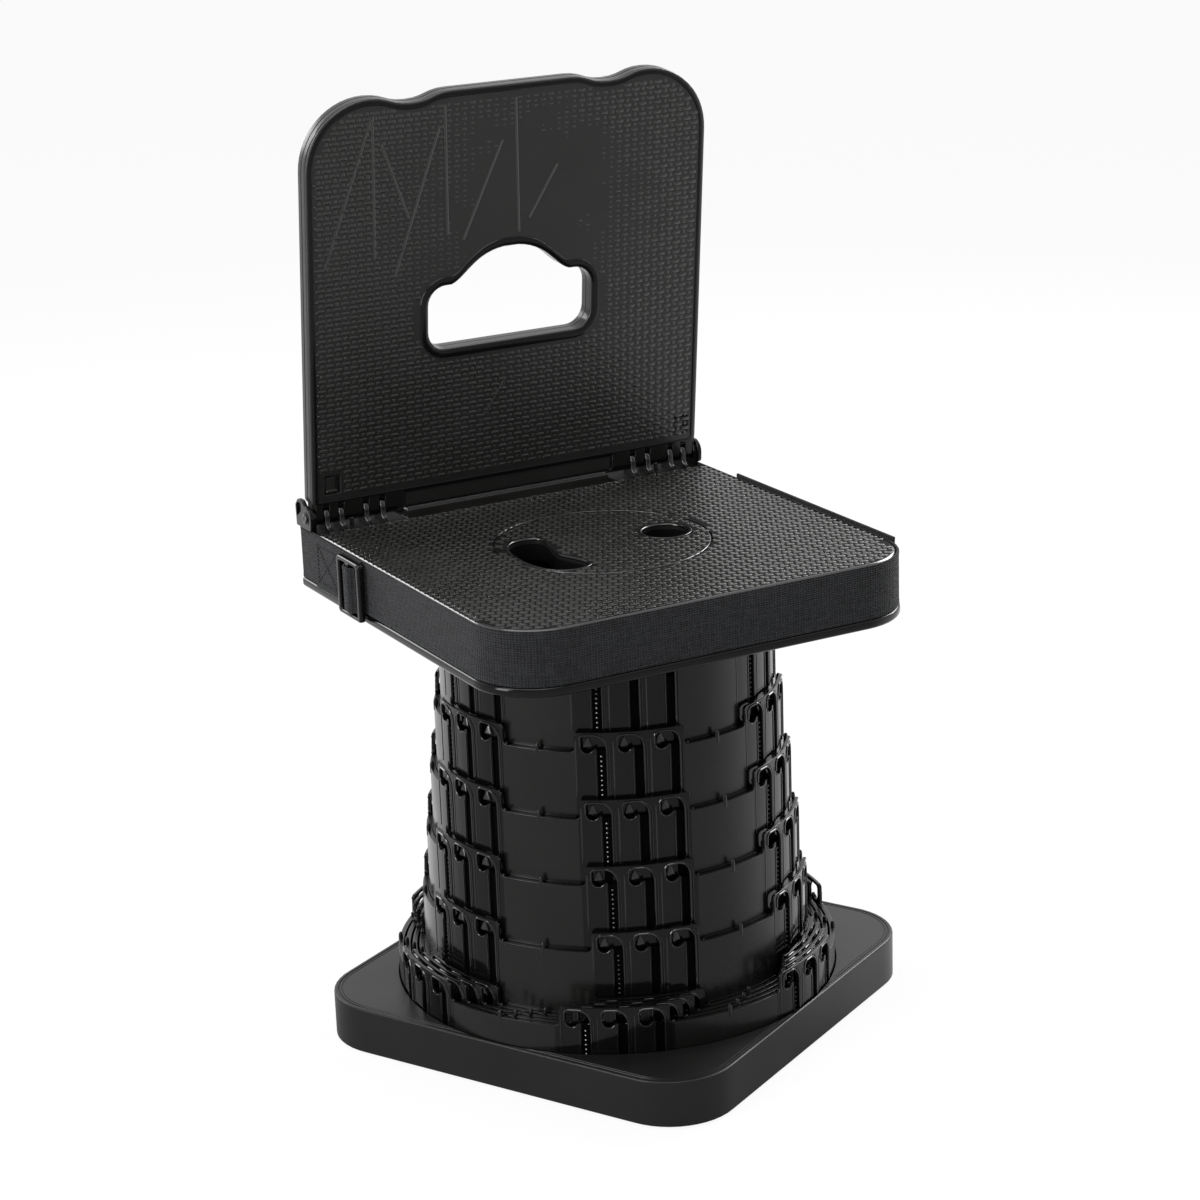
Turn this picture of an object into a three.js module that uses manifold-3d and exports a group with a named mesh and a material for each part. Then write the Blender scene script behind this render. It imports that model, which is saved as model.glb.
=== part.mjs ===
// Collapsible telescopic stool with a folding backrest, in millimetres, +Z up.
// The origin is on the column's axis, at the height of the floor that the feet rest on.
// The seat is square to X and Y with its hinge on the +Y side, and the base is turned under it.
import * as THREE from "three";
import { mergeVertices } from "three/addons/utils/BufferGeometryUtils.js";
import Module from "manifold-3d";

const wasm = await Module();
wasm.setup();

// Shared fits
const seatGap = 0.3;
const cutOverrun = 2;
const weldBite = 0.8;
const mergeTolerance = 1e-4;

// Base: a square moulding with a round well for the column
const baseSide = 298;
const baseCorner = 44;
const baseHeight = 31.9;
const baseEdgeRound = 1.2;
const baseWall = 2.4;
const baseTopThickness = 3;
const baseFloorThickness = 2;
const baseTurnDegrees = 28.6;
const wellClearance = 0.8;
const wellWall = 1.6;
const baseCoverThickness = 3;
const footRadius = 9;
const footProud = 1.2;
const footSink = 1;
const footInset = 34;
const baseBossRadius = 5;
const baseScrewInset = 20;

// Column: nested rings, each one pitch taller than the ring it slides in
const ringCount = 9;
const raisedPairs = 5;
const columnMargin = 2.4;
const ringStep = 4.6;
const ringSlack = 0.5;
const ringHeight = 56.4;
const ringPitch = 43;
const parapetRise = 13;
const ringFacets = 30;
const wellFacets = 48;
const archGroups = 6;
const baysPerGroup = 3;
const bayWidth = 23.6;
const raisedDriftDegrees = 0.7;
const nestedDriftDegrees = -3.5;
const raisedGroupDegrees = -111.2;

// Bay: a bayonet window, a dark slot on the right with a pocket at its upper left
const slotWidth = 5.4;
const bayPostWidth = 3.8;
const pocketWidth = 8;
const pocketHeight = 11;
const passageWidth = 2.1;
const lintelHeight = 2.4;
const archDrop = 5;
const sillDrop = 0.9;

// Tooth: the wedge near a ring's foot that hangs in the next ring's pocket
const toothWidth = 6;
const toothHeight = 7;
const toothLift = 2.5;
const toothReach = 2.2;
const toothSlack = 0.4;

// Seat: a tray with a flange, a top plate and a round lid with two finger holes
const seatSide = 300;
const seatCorner = 44;
const seatRearCorner = 7;
const flangeThickness = 6.3;
const flangeRound = 1.6;
const flangeOverhang = 2.6;
const trayWall = 2.5;
const trayFloor = 3.4;
const seatDepth = 41.6;
const seatTopThickness = 6;
const seatTopRound = 1.2;
const seatBossRadius = 5;
const seatScrewInset = 26;
const spigotDepth = 12;
const spigotWall = 2.5;
const spigotSlack = 1;
const lidRadius = 70.6;
const lidThickness = 3.7;
const lidLedge = 4;
const lidCentreX = -2;
const lidCentreY = -3.5;

// Finger holes in the lid
const roundHoleRadius = 15.2;
const roundHoleMargin = 10.8;
const roundHoleDrop = 3.5;
const beanMargin = 7.9;
const beanWidth = 32.1;
const beanLobe = 19.7;
const beanWaist = 25.3;
const beanEndMargin = 9.58;
const beanRearMargin = 38.1;
const beanDrop = 8.5;
const beanEase = 9;

// Webbing band round the seat, with its doubled stretches and slide buckle
const webbingWidth = 34.8;
const webbingThickness = 1.7;
const doubledFrontInset = 38;
const doubledBackInset = 72;
const doubledRise = 2.4;
const tailLength = 72;
const tailInset = 32;
const buckleInset = 92;
const buckleLength = 34;
const buckleHeight = 39;
const buckleThickness = 4;
const buckleBar = 5;
const buckleRail = 2.6;
const buckleDrop = 4.5;

// Hinge between seat and backrest
const hingeSetback = 17;
const hingeRise = 7.9;
const lugRadius = 6;
const lugThickness = 3.6;
const knuckleRadius = 4.5;
const pinRadius = 1.8;
const pinClearance = 0.25;
const pinHeadRadius = 3.4;
const pinHeadThickness = 1.2;
const earThickness = 2.8;
const earRise = 19;
const earReach = 8;
const earInset = 0.8;
const earChamfer = 6;
const earBossThickness = 5.3;
const blockLength = 70;
const blockReach = 14;
const blockInset = 4.2;
const blockSink = 4;
const blockThickness = 2.2;
const padHeight = 6;
const padLength = 10;
const padDepth = 12;
const lugInsetShares = [0.77, 0.6, 0.34, 0.19];
const hingeScrewInset = 33;
const hingeScrewLength = 8.5;
const railEndGap = 3;
const rearRailHeight = 6.5;
const rearRailDepth = 7;

// Backrest: a front panel and a rear cover round a hand hole, leaning over the seat
const backrestSideInset = 3.3;
const backrestThickness = 14.6;
const frontReach = 4.5;
const lipEndGap = 6;
const lipDrop = 2.5;
const backrestTop = 276.8;
const backrestLeanDegrees = 6.1;
const backrestTopCorner = 45;
const backrestBottomCorner = 8;
const backrestFootGap = 0.6;
const dipX = 72;
const dipDepth = 5.2;
const crownHalfWidth = 43;
const backrestEdgeRound = 2.6;
const frontPanelThickness = 8;
const panelSkin = 2.5;
const panelWall = 3;
const handHoleHalfWidth = 61;
const handHoleBottom = 103.9;
const handHoleShoulder = 147.4;
const handHoleCrown = 168.8;
const handHoleCorner = 13;
const handHoleShoulderX = 44;
const handHoleCrownShare = 0.6;
const handHoleShoulderShare = 0.75;
const handHoleRiseShare = 0.15;
const backrestScrewInset = 28.7;
const backrestScrewLow = 40;
const backrestScrewHigh = 230;

// Fasteners
const screwHeadRadius = 3.5;
const screwHeadThickness = 1.8;
const screwShankRadius = 1.5;
const screwLength = 11;
const screwDriveRadius = 1.1;
const screwDriveDepth = 1;
const boreSlack = 0.3;
const fineFacets = 12;
const screwFacets = 8;
const cornerSegments = 3;

// Worked-out heights and places
const coverTop = footProud + baseCoverThickness;
const wellFloor = coverTop + seatGap + baseFloorThickness;
const columnFoot = wellFloor + seatGap;
const ringWall = ringStep - ringSlack;
const raisedGroup = ringHeight - ringPitch;
const flangeBottom = columnFoot + raisedPairs * ringPitch + ringHeight + seatDrop();
const flangeTop = flangeBottom + flangeThickness;
const seatTop = flangeBottom + seatDepth;
const hingeZ = seatTop + hingeRise;
const trayHalf = seatSide / 2 - flangeOverhang;
const hingeY = seatSide / 2 - hingeSetback;
const blockInnerX = seatSide / 2 - blockLength;
const blockFrontY = hingeY - blockReach;
const lugPlaces = lugInsetShares.map((share) => seatSide / 2 - share * blockLength);
const hingeScrewX = seatSide / 2 - hingeScrewInset;
const backrestHalfWidth = seatSide / 2 - backrestSideInset;

// The topmost ring is plain at its rim and a little taller, so the seat stands clear of the arches below
function seatDrop() {
  return topRingExtra() + seatGap;
}

function topRingExtra() {
  return parapetRise / 2;
}

// Materials
function plastic(color, roughness, metalness = 0) {
  return new THREE.MeshStandardMaterial({ color, roughness, metalness });
}

const glossyPlastic = plastic(0x1b1b1c, 0.28);
const satinPlastic = plastic(0x262627, 0.5);
const wovenPlastic = plastic(0x2c2b29, 0.55);
const webbing = plastic(0x1d1d1e, 0.9);
const rubber = plastic(0x161616, 0.9);
const steel = plastic(0x8d8d90, 0.35, 0.9);

// Solids: a closed three.js geometry becomes a solid that can be joined and cut
function solidOf(geometry) {
  const bare = geometry.clone();
  bare.deleteAttribute("normal");
  bare.deleteAttribute("uv");
  const welded = mergeVertices(bare, mergeTolerance);
  const vertProperties = new Float32Array(welded.attributes.position.array);
  const triVerts = new Uint32Array(welded.index.array);
  const solid = new wasm.Manifold(new wasm.Mesh({ numProp: 3, vertProperties, triVerts }));
  if (solid.volume() >= 0) {
    return solid;
  }
  for (let i = 0; i < triVerts.length; i += 3) {
    [triVerts[i], triVerts[i + 1]] = [triVerts[i + 1], triVerts[i]];
  }
  return new wasm.Manifold(new wasm.Mesh({ numProp: 3, vertProperties, triVerts }));
}

function geometryOf(solid) {
  const mesh = solid.getMesh();
  const geometry = new THREE.BufferGeometry();
  const positions = new Float32Array(mesh.numVert * 3);
  for (let i = 0; i < mesh.numVert; i += 1) {
    for (let axis = 0; axis < 3; axis += 1) {
      positions[3 * i + axis] = mesh.vertProperties[mesh.numProp * i + axis];
    }
  }
  geometry.setAttribute("position", new THREE.BufferAttribute(positions, 3));
  geometry.setIndex(new THREE.BufferAttribute(new Uint32Array(mesh.triVerts), 1));
  geometry.computeVertexNormals();
  return geometry;
}

function join(solids) {
  return solids.reduce((whole, solid) => whole.add(solid));
}

function cut(solid, cutters) {
  return cutters.reduce((rest, cutter) => rest.subtract(cutter), solid);
}

function pieceMesh(name, solid, material) {
  const mesh = new THREE.Mesh(geometryOf(solid), material);
  mesh.name = name;
  return mesh;
}

// Primitives, each given by the corners or ends that its neighbours need
function block(xLow, xHigh, yLow, yHigh, zLow, zHigh) {
  const geometry = new THREE.BoxGeometry(xHigh - xLow, yHigh - yLow, zHigh - zLow);
  geometry.translate((xLow + xHigh) / 2, (yLow + yHigh) / 2, (zLow + zHigh) / 2);
  return solidOf(geometry);
}

function post(radius, zLow, zHigh, x = 0, y = 0, facets = fineFacets) {
  const geometry = new THREE.CylinderGeometry(radius, radius, zHigh - zLow, facets);
  geometry.rotateX(Math.PI / 2);
  geometry.translate(x, y, (zLow + zHigh) / 2);
  return solidOf(geometry);
}

function rod(radius, xLow, xHigh, y, z, facets = fineFacets) {
  const geometry = new THREE.CylinderGeometry(radius, radius, xHigh - xLow, facets);
  geometry.rotateZ(Math.PI / 2);
  geometry.translate((xLow + xHigh) / 2, y, z);
  return solidOf(geometry);
}

// A flat outline in XY, raised from zLow to zHigh, with its edges broken by `round`
function slab(shape, zLow, zHigh, round = 0, curveSegments = cornerSegments) {
  const geometry = new THREE.ExtrudeGeometry(shape, {
    depth: zHigh - zLow - 2 * round,
    bevelEnabled: round > 0,
    bevelThickness: round,
    bevelSize: round,
    bevelOffset: -round,
    bevelSegments: 1,
    curveSegments,
  });
  geometry.translate(0, 0, zLow + round);
  return solidOf(geometry);
}

// A flat outline in YZ, run along X
function sideSlab(shape, xLow, xHigh, curveSegments = 6) {
  const geometry = new THREE.ExtrudeGeometry(shape, {
    depth: xHigh - xLow,
    bevelEnabled: false,
    curveSegments,
  });
  const turn = new THREE.Matrix4().makeBasis(
    new THREE.Vector3(0, 1, 0),
    new THREE.Vector3(0, 0, 1),
    new THREE.Vector3(1, 0, 0),
  );
  geometry.applyMatrix4(turn);
  geometry.translate(xLow, 0, 0);
  return solidOf(geometry);
}

function roundedSquare(side, corner, rearCorner = corner) {
  const half = side / 2;
  const inner = half - corner;
  const rear = half - rearCorner;
  const shape = new THREE.Shape();
  shape.absarc(rear, rear, rearCorner, 0, Math.PI / 2, false);
  shape.absarc(-rear, rear, rearCorner, Math.PI / 2, Math.PI, false);
  shape.absarc(-inner, -inner, corner, Math.PI, (3 / 2) * Math.PI, false);
  shape.absarc(inner, -inner, corner, (3 / 2) * Math.PI, 2 * Math.PI, false);
  shape.closePath();
  return shape;
}

function fourCorners(inset, side) {
  const reach = side / 2 - inset;
  return [[1, 1], [-1, 1], [-1, -1], [1, -1]].map(([sx, sy]) => [sx * reach, sy * reach]);
}

// A pan-head screw, its head at the low end and its shank pointing up
function screwSolid(length) {
  const head = post(screwHeadRadius, 0, screwHeadThickness, 0, 0, screwFacets);
  const shank = post(screwShankRadius, screwHeadThickness / 2, length, 0, 0, screwFacets);
  const drive = post(screwDriveRadius, -cutOverrun, screwDriveDepth, 0, 0, 4);
  return head.add(shank).subtract(drive);
}

function screwBore(x, y, zHead) {
  const headRoom = post(screwHeadRadius + boreSlack, zHead - cutOverrun,
    zHead + screwHeadThickness + seatGap, x, y, screwFacets);
  const shankRoom = post(screwShankRadius + boreSlack, zHead,
    zHead + screwLength + seatGap, x, y, screwFacets);
  return [headRoom, shankRoom];
}

function screwMeshes(prefix, places, zHead, length = screwLength) {
  return places.map(([x, y], index) => {
    const mesh = pieceMesh(`${prefix}_${index + 1}`, screwSolid(length), steel);
    mesh.position.set(x, y, zHead);
    return mesh;
  });
}

// Base
function baseShell() {
  const outer = slab(roundedSquare(baseSide, baseCorner), footProud, baseHeight, baseEdgeRound);
  const wellRadius = ringOuter(ringCount) + wellClearance;
  const well = post(wellRadius, wellFloor, baseHeight + cutOverrun, 0, 0, wellFacets);
  const cavity = slab(roundedSquare(baseSide - 2 * baseWall, baseCorner - baseWall),
    footProud - cutOverrun, baseHeight - baseTopThickness);
  const keep = post(wellRadius + wellWall, coverTop + seatGap, baseHeight, 0, 0, wellFacets);
  const bosses = fourCorners(baseScrewInset + baseBossRadius, baseSide).map(
    ([x, y]) => post(baseBossRadius, coverTop + seatGap, baseHeight - weldBite, x, y));
  const shell = outer.subtract(cavity.subtract(keep)).subtract(well);
  const bores = fourCorners(baseScrewInset + baseBossRadius, baseSide).flatMap(
    ([x, y]) => screwBore(x, y, footProud));
  return cut(join([shell, ...bosses]), bores);
}

function baseCover() {
  const side = baseSide - 2 * (baseWall + seatGap);
  const plate = slab(roundedSquare(side, side / 2 - (baseSide / 2 - baseCorner)), footProud, coverTop);
  const bores = fourCorners(baseScrewInset + baseBossRadius, baseSide).flatMap(
    ([x, y]) => screwBore(x, y, footProud));
  const footSeats = fourCorners(footInset + footRadius, baseSide).map(
    ([x, y]) => post(footRadius + seatGap, footProud - cutOverrun, footProud + footSink, x, y));
  return cut(plate, [...bores, ...footSeats]);
}

function baseGroup() {
  const group = new THREE.Group();
  group.rotation.z = THREE.MathUtils.degToRad(baseTurnDegrees);
  group.add(pieceMesh("base_shell", baseShell(), satinPlastic));
  group.add(pieceMesh("base_cover", baseCover(), satinPlastic));
  fourCorners(footInset + footRadius, baseSide).forEach(([x, y], index) => {
    const foot = post(footRadius, 0, footProud + footSink - seatGap, x, y);
    group.add(pieceMesh(`base_foot_${index + 1}`, foot, rubber));
  });
  const places = fourCorners(baseScrewInset + baseBossRadius, baseSide);
  group.add(...screwMeshes("base_screw", places, footProud));
  return group;
}

// Column
function ringOuter(index) {
  return baseSide / 2 - columnMargin - (ringCount - index) * ringStep;
}

function ringFoot(index) {
  const raised = Math.max(0, ringCount - index - (ringCount - 1 - raisedPairs));
  return columnFoot + raised * ringPitch;
}

function groupTurn() {
  return 360 / archGroups;
}

// The middle of a ring's first arch group, as an angle about the column
function groupAngle(index) {
  const lastRaised = raisedPairs + 1;
  const middle = (lastRaised + 1) / 2;
  if (index <= lastRaised) {
    return raisedGroupDegrees + (index - middle) * raisedDriftDegrees;
  }
  return groupAngle(lastRaised) + (index - lastRaised) * nestedDriftDegrees;
}

// Turns a flat outline, x to the right and y up as seen from outside, into a radial cutter or block
function radialSolid(shape, angleDegrees, rLow, rHigh) {
  const geometry = new THREE.ExtrudeGeometry(shape, {
    depth: rHigh - rLow,
    bevelEnabled: false,
  });
  geometry.translate(0, 0, rLow);
  const angle = THREE.MathUtils.degToRad(angleDegrees);
  const along = new THREE.Vector3(-Math.sin(angle), Math.cos(angle), 0);
  const outward = new THREE.Vector3(Math.cos(angle), Math.sin(angle), 0);
  geometry.applyMatrix4(new THREE.Matrix4().makeBasis(along, new THREE.Vector3(0, 0, 1), outward));
  return solidOf(geometry);
}

function rectangle(xLow, xHigh, yLow, yHigh) {
  const shape = new THREE.Shape();
  shape.moveTo(xLow, yLow);
  shape.lineTo(xHigh, yLow);
  shape.lineTo(xHigh, yHigh);
  shape.lineTo(xLow, yHigh);
  shape.closePath();
  return shape;
}

// Places along a bay, measured from its middle, as seen from outside
function bayPlan() {
  const slotRight = bayWidth / 2 - bayPostWidth;
  const slotLeft = slotRight - slotWidth;
  const pocketRight = slotLeft - passageWidth;
  const pocketLeft = pocketRight - pocketWidth;
  return { slotRight, slotLeft, pocketRight, pocketLeft, toothMiddle: (pocketLeft + pocketRight) / 2 };
}

function bayDegrees(index) {
  return THREE.MathUtils.radToDeg(bayWidth / ringOuter(index));
}

function bayAngles(index) {
  const angles = [];
  for (let group = 0; group < archGroups; group += 1) {
    for (let bay = 0; bay < baysPerGroup; bay += 1) {
      const shift = (bay - (baysPerGroup - 1) / 2) * bayDegrees(index);
      angles.push(groupAngle(index) + group * groupTurn() + shift);
    }
  }
  return angles;
}

function windowShape(index, topExtra) {
  const { slotRight, slotLeft, pocketLeft } = bayPlan();
  const head = ringHeight - lintelHeight + topExtra;
  const sill = raisedGroup - sillDrop;
  const ledge = head - pocketHeight;
  const shape = new THREE.Shape();
  shape.moveTo(slotLeft, sill);
  shape.lineTo(slotRight, sill);
  shape.lineTo(slotRight, head - archDrop);
  shape.lineTo(slotRight - archDrop, head);
  shape.lineTo(pocketLeft, head);
  shape.lineTo(pocketLeft, ledge);
  shape.lineTo(slotLeft, ledge);
  shape.closePath();
  return shape;
}

function toothShape(middle) {
  const shape = new THREE.Shape();
  shape.moveTo(middle - toothWidth / 2, toothLift);
  shape.lineTo(middle + toothWidth / 2, toothLift);
  shape.lineTo(middle, toothLift + toothHeight);
  shape.closePath();
  return shape;
}

// The angle between a bay's middle and the tooth that hangs in its pocket
function toothTurn(index) {
  return THREE.MathUtils.radToDeg(Math.atan2(bayPlan().toothMiddle, ringOuter(index)));
}

function ringSolid(index) {
  const outer = ringOuter(index);
  const inner = outer - ringWall;
  const isTop = index === 1;
  const height = ringHeight + (isTop ? topRingExtra() : 0);
  const profile = [[inner, 0], [outer, 0], [outer, height], [inner, height], [inner, 0]];
  const lathe = new THREE.LatheGeometry(profile.map(([r, z]) => new THREE.Vector2(r, z)), ringFacets);
  lathe.rotateX(Math.PI / 2);
  lathe.rotateZ(THREE.MathUtils.degToRad(raisedGroupDegrees) + Math.PI / 2 + Math.PI / ringFacets);
  let ring = solidOf(lathe);
  ring = cut(ring, bayAngles(index).map((angle) => radialSolid(
    windowShape(index, isTop ? topRingExtra() : 0), angle, inner - cutOverrun, outer + cutOverrun)));
  if (!isTop) {
    ring = cut(ring, [parapetCutter(index), ...toothRuns(index)]);
  }
  if (index < ringCount) {
    ring = join([ring, ...teeth(index)]);
  }
  return ring;
}

// What is taken off the rim between the arch groups: one wedge for each plain panel
function parapetCutter(index) {
  const near = ringOuter(index) - ringWall - cutOverrun;
  const far = ringOuter(index) + 2 * cutOverrun;
  const halfSpan = THREE.MathUtils.degToRad(groupTurn() - baysPerGroup * bayDegrees(index)) / 2;
  const wedges = [];
  for (let group = 0; group < archGroups; group += 1) {
    const middle = THREE.MathUtils.degToRad(groupAngle(index) + (group + 1 / 2) * groupTurn());
    const at = (radius, angle) => [radius * Math.cos(angle), radius * Math.sin(angle)];
    const shape = new THREE.Shape();
    shape.moveTo(...at(near, middle - halfSpan));
    shape.lineTo(...at(far, middle - halfSpan));
    shape.lineTo(...at(far, middle));
    shape.lineTo(...at(far, middle + halfSpan));
    shape.lineTo(...at(near, middle + halfSpan));
    shape.closePath();
    wedges.push(slab(shape, ringHeight - parapetRise, ringHeight + cutOverrun));
  }
  return join(wedges);
}

// Shallow tracks inside a ring, in which the next ring's teeth run straight up and down
function toothRuns(index) {
  const { toothMiddle } = bayPlan();
  const inner = ringOuter(index) - ringWall;
  const depth = ringOuter(index - 1) + toothReach + toothSlack;
  const half = toothWidth / 2 + toothSlack;
  const top = ringHeight - lintelHeight - pocketHeight / 2;
  return bayAngles(index).map((angle) => radialSolid(
    rectangle(toothMiddle - half, toothMiddle + half, -cutOverrun, top), angle, inner - cutOverrun, depth));
}

function teeth(index) {
  const outer = ringOuter(index);
  return bayAngles(index + 1).map((angle) => radialSolid(
    toothShape(0), angle + toothTurn(index + 1), outer - 2 * weldBite, outer + toothReach));
}

function columnGroup() {
  const group = new THREE.Group();
  for (let index = 1; index <= ringCount; index += 1) {
    const mesh = pieceMesh(`ring_${index}`, ringSolid(index), glossyPlastic);
    mesh.position.z = ringFoot(index);
    group.add(mesh);
  }
  return group;
}

// Seat: round corners in front and tight ones behind, where the hinge ears stand
function seatOutline(inset) {
  const rearCorner = Math.max(seatRearCorner - inset, weldBite);
  return roundedSquare(seatSide - 2 * inset, seatCorner - inset, rearCorner);
}

function seatScrewPlaces() {
  return fourCorners(seatScrewInset, seatSide);
}

function seatTray() {
  const flange = slab(seatOutline(0), flangeBottom, flangeTop, flangeRound);
  const top = seatTop - seatTopThickness - seatGap;
  const walls = slab(seatOutline(flangeOverhang), flangeBottom + flangeThickness / 2, top);
  const room = slab(seatOutline(flangeOverhang + trayWall), flangeBottom + trayFloor, top + cutOverrun);
  const spigotOuter = ringOuter(1) - ringWall - spigotSlack;
  const spigot = post(spigotOuter, flangeBottom - spigotDepth, flangeBottom + weldBite, 0, 0, ringFacets)
    .subtract(post(spigotOuter - spigotWall, flangeBottom - spigotDepth - cutOverrun, flangeBottom,
      0, 0, ringFacets));
  const bores = seatScrewPlaces().flatMap(([x, y]) => screwBore(x, y, flangeBottom));
  return cut(join([flange, walls]), [room, ...bores]).add(spigot);
}

function lidShape(radius) {
  const shape = new THREE.Shape();
  shape.absarc(lidCentreX, lidCentreY, radius, 0, 2 * Math.PI, false);
  return shape;
}

function seatTopSolid() {
  const low = seatTop - seatTopThickness;
  const plate = slab(seatOutline(flangeOverhang), low, seatTop, seatTopRound);
  const lidFloor = seatTop - lidThickness - seatGap;
  const lidRoom = slab(lidShape(lidRadius + seatGap), lidFloor, seatTop + cutOverrun, 0, 8);
  const fingerRoom = slab(lidShape(lidRadius - lidLedge), low - cutOverrun, lidFloor + weldBite, 0, 8);
  const step = block(-seatSide, seatSide, blockFrontY - seatGap, seatSide,
    seatTop - blockSink, seatTop + cutOverrun);
  const railHalf = blockInnerX - railEndGap;
  const rail = block(-railHalf, railHalf, hingeY - rearRailDepth / 2,
    hingeY + rearRailDepth / 2, seatTop - blockSink - weldBite, seatTop - blockSink + rearRailHeight);
  const bosses = seatScrewPlaces().map(
    ([x, y]) => post(seatBossRadius, flangeBottom + trayFloor + seatGap, low + weldBite, x, y));
  const bores = seatScrewPlaces().flatMap(([x, y]) => screwBore(x, y, flangeBottom));
  const hingeBores = hingeScrewPlaces().map(([x, y]) => post(screwShankRadius + boreSlack,
    low - cutOverrun, seatTop, x, y, screwFacets));
  return cut(join([cut(plate, [lidRoom, fingerRoom, step]), rail, ...bosses]),
    [...bores, ...hingeBores]);
}

// The long finger hole: two lobes with a waist on the side that faces the middle
function beanShape() {
  const outer = lidCentreX - lidRadius + beanMargin;
  const middle = outer + beanLobe;
  const inner = outer + beanWidth;
  const waist = outer + beanWaist;
  const waistY = lidCentreY - beanDrop;
  const low = lidCentreY - Math.sqrt((lidRadius - beanEndMargin) ** 2 - (middle - lidCentreX) ** 2);
  const high = lidCentreY + lidRadius - beanRearMargin;
  const ease = beanEase;
  const path = new THREE.Path();
  path.moveTo(outer, waistY);
  path.bezierCurveTo(outer, low + ease, middle - ease, low, middle, low);
  path.bezierCurveTo(middle + ease, low, inner, low + ease / 2, inner, low + ease);
  path.bezierCurveTo(inner, low + 2 * ease, waist, waistY - ease, waist, waistY);
  path.bezierCurveTo(waist, waistY + ease, inner, high - 2 * ease, inner, high - ease);
  path.bezierCurveTo(inner, high - ease / 2, middle + ease, high, middle, high);
  path.bezierCurveTo(middle - ease, high, outer, high - ease, outer, waistY);
  return path;
}

function seatLid() {
  const shape = lidShape(lidRadius);
  shape.holes.push(beanShape());
  const round = new THREE.Path();
  const roundX = lidCentreX + lidRadius - roundHoleMargin - roundHoleRadius;
  round.absarc(roundX, lidCentreY - roundHoleDrop, roundHoleRadius, 0, 2 * Math.PI, true);
  shape.holes.push(round);
  return slab(shape, seatTop - lidThickness, seatTop, 0, 8);
}

// Hinge
function circleShape(y, z, radius) {
  const shape = new THREE.Shape();
  shape.absarc(y, z, radius, 0, 2 * Math.PI, false);
  return shape;
}

function hingeScrewPlaces() {
  return [-1, 1].map((side) => [side * hingeScrewX, hingeY]);
}

// A lug in the YZ plane: round at the pin and straight down into its block
function lugSolid(radius, foot, xLow, xHigh) {
  const barrel = sideSlab(circleShape(hingeY, hingeZ, radius), xLow, xHigh);
  const stem = block(xLow, xHigh, hingeY - radius, hingeY + radius, foot, hingeZ);
  const below = block(xLow - cutOverrun, xHigh + cutOverrun, hingeY - 2 * radius, hingeY + 2 * radius,
    foot - radius, foot);
  return barrel.add(stem).subtract(below);
}

// The ear's outline from the side: low in front, where the pin's boss is, and tall behind
function earShape(foot) {
  const high = foot + earRise;
  const front = hingeY - earReach;
  const back = seatSide / 2 - earInset;
  const shape = new THREE.Shape();
  shape.moveTo(front, foot);
  shape.lineTo(back, foot);
  shape.lineTo(back, high - earChamfer);
  shape.lineTo(back - earChamfer / 2, high);
  shape.lineTo(hingeY + lugRadius, high);
  shape.lineTo(hingeY, hingeZ + lugRadius);
  shape.lineTo(front, hingeZ);
  shape.closePath();
  return shape;
}

function hingeBlock(side) {
  const foot = seatTop - blockSink + seatGap;
  const plateTop = foot + blockThickness;
  const outside = seatSide / 2;
  const bossInner = outside - earBossThickness;
  const span = (a, b) => [Math.min(side * a, side * b), Math.max(side * a, side * b)];
  const plate = block(...span(blockInnerX, trayHalf - seatTopRound), blockFrontY,
    seatSide / 2 - blockInset, foot, plateTop);
  const ear = sideSlab(earShape(seatTop + seatGap), ...span(outside - earThickness, outside));
  const bossOuter = lugSolid(lugRadius, seatTop + seatGap, ...span(bossInner, outside - seatGap));
  const bossInnerStem = block(...span(bossInner, trayHalf - seatTopRound), hingeY - lugRadius,
    hingeY + lugRadius, plateTop - weldBite, hingeZ);
  const lugs = lugPlaces.map((x) => lugSolid(lugRadius, plateTop - weldBite,
    ...span(x - lugThickness / 2, x + lugThickness / 2)));
  const pad = block(...span(hingeScrewX - padLength / 2, hingeScrewX + padLength / 2),
    hingeY - padDepth / 2, hingeY + padDepth / 2, plateTop - weldBite, foot + padHeight);
  const bore = rod(pinRadius + pinClearance, ...span(blockInnerX, outside + cutOverrun),
    hingeY, hingeZ, screwFacets);
  const screwHole = post(screwShankRadius + boreSlack, foot - cutOverrun,
    hingeScrewHead() + hingeScrewLength + seatGap, side * hingeScrewX, hingeY, screwFacets);
  return cut(join([plate, ear, bossOuter, bossInnerStem, ...lugs, pad]), [bore, screwHole]);
}

function hingePin(side) {
  const outer = side * (seatSide / 2 + pinHeadThickness + seatGap);
  const inner = side * (blockInnerX + lugThickness);
  const shoulder = side * (seatSide / 2 + seatGap);
  const shank = rod(pinRadius, Math.min(inner, outer), Math.max(inner, outer), hingeY, hingeZ, screwFacets);
  const head = rod(pinHeadRadius, Math.min(shoulder, outer), Math.max(shoulder, outer), hingeY, hingeZ);
  return shank.add(head);
}

function hingeScrewHead() {
  return seatTop - seatTopThickness - screwHeadThickness;
}

// Webbing
function bandSolid(inset, zLow, zHigh) {
  const outer = slab(seatOutline(inset - webbingThickness), zLow, zHigh);
  const inner = slab(seatOutline(inset), zLow - cutOverrun, zHigh + cutOverrun);
  return outer.subtract(inner);
}

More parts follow.
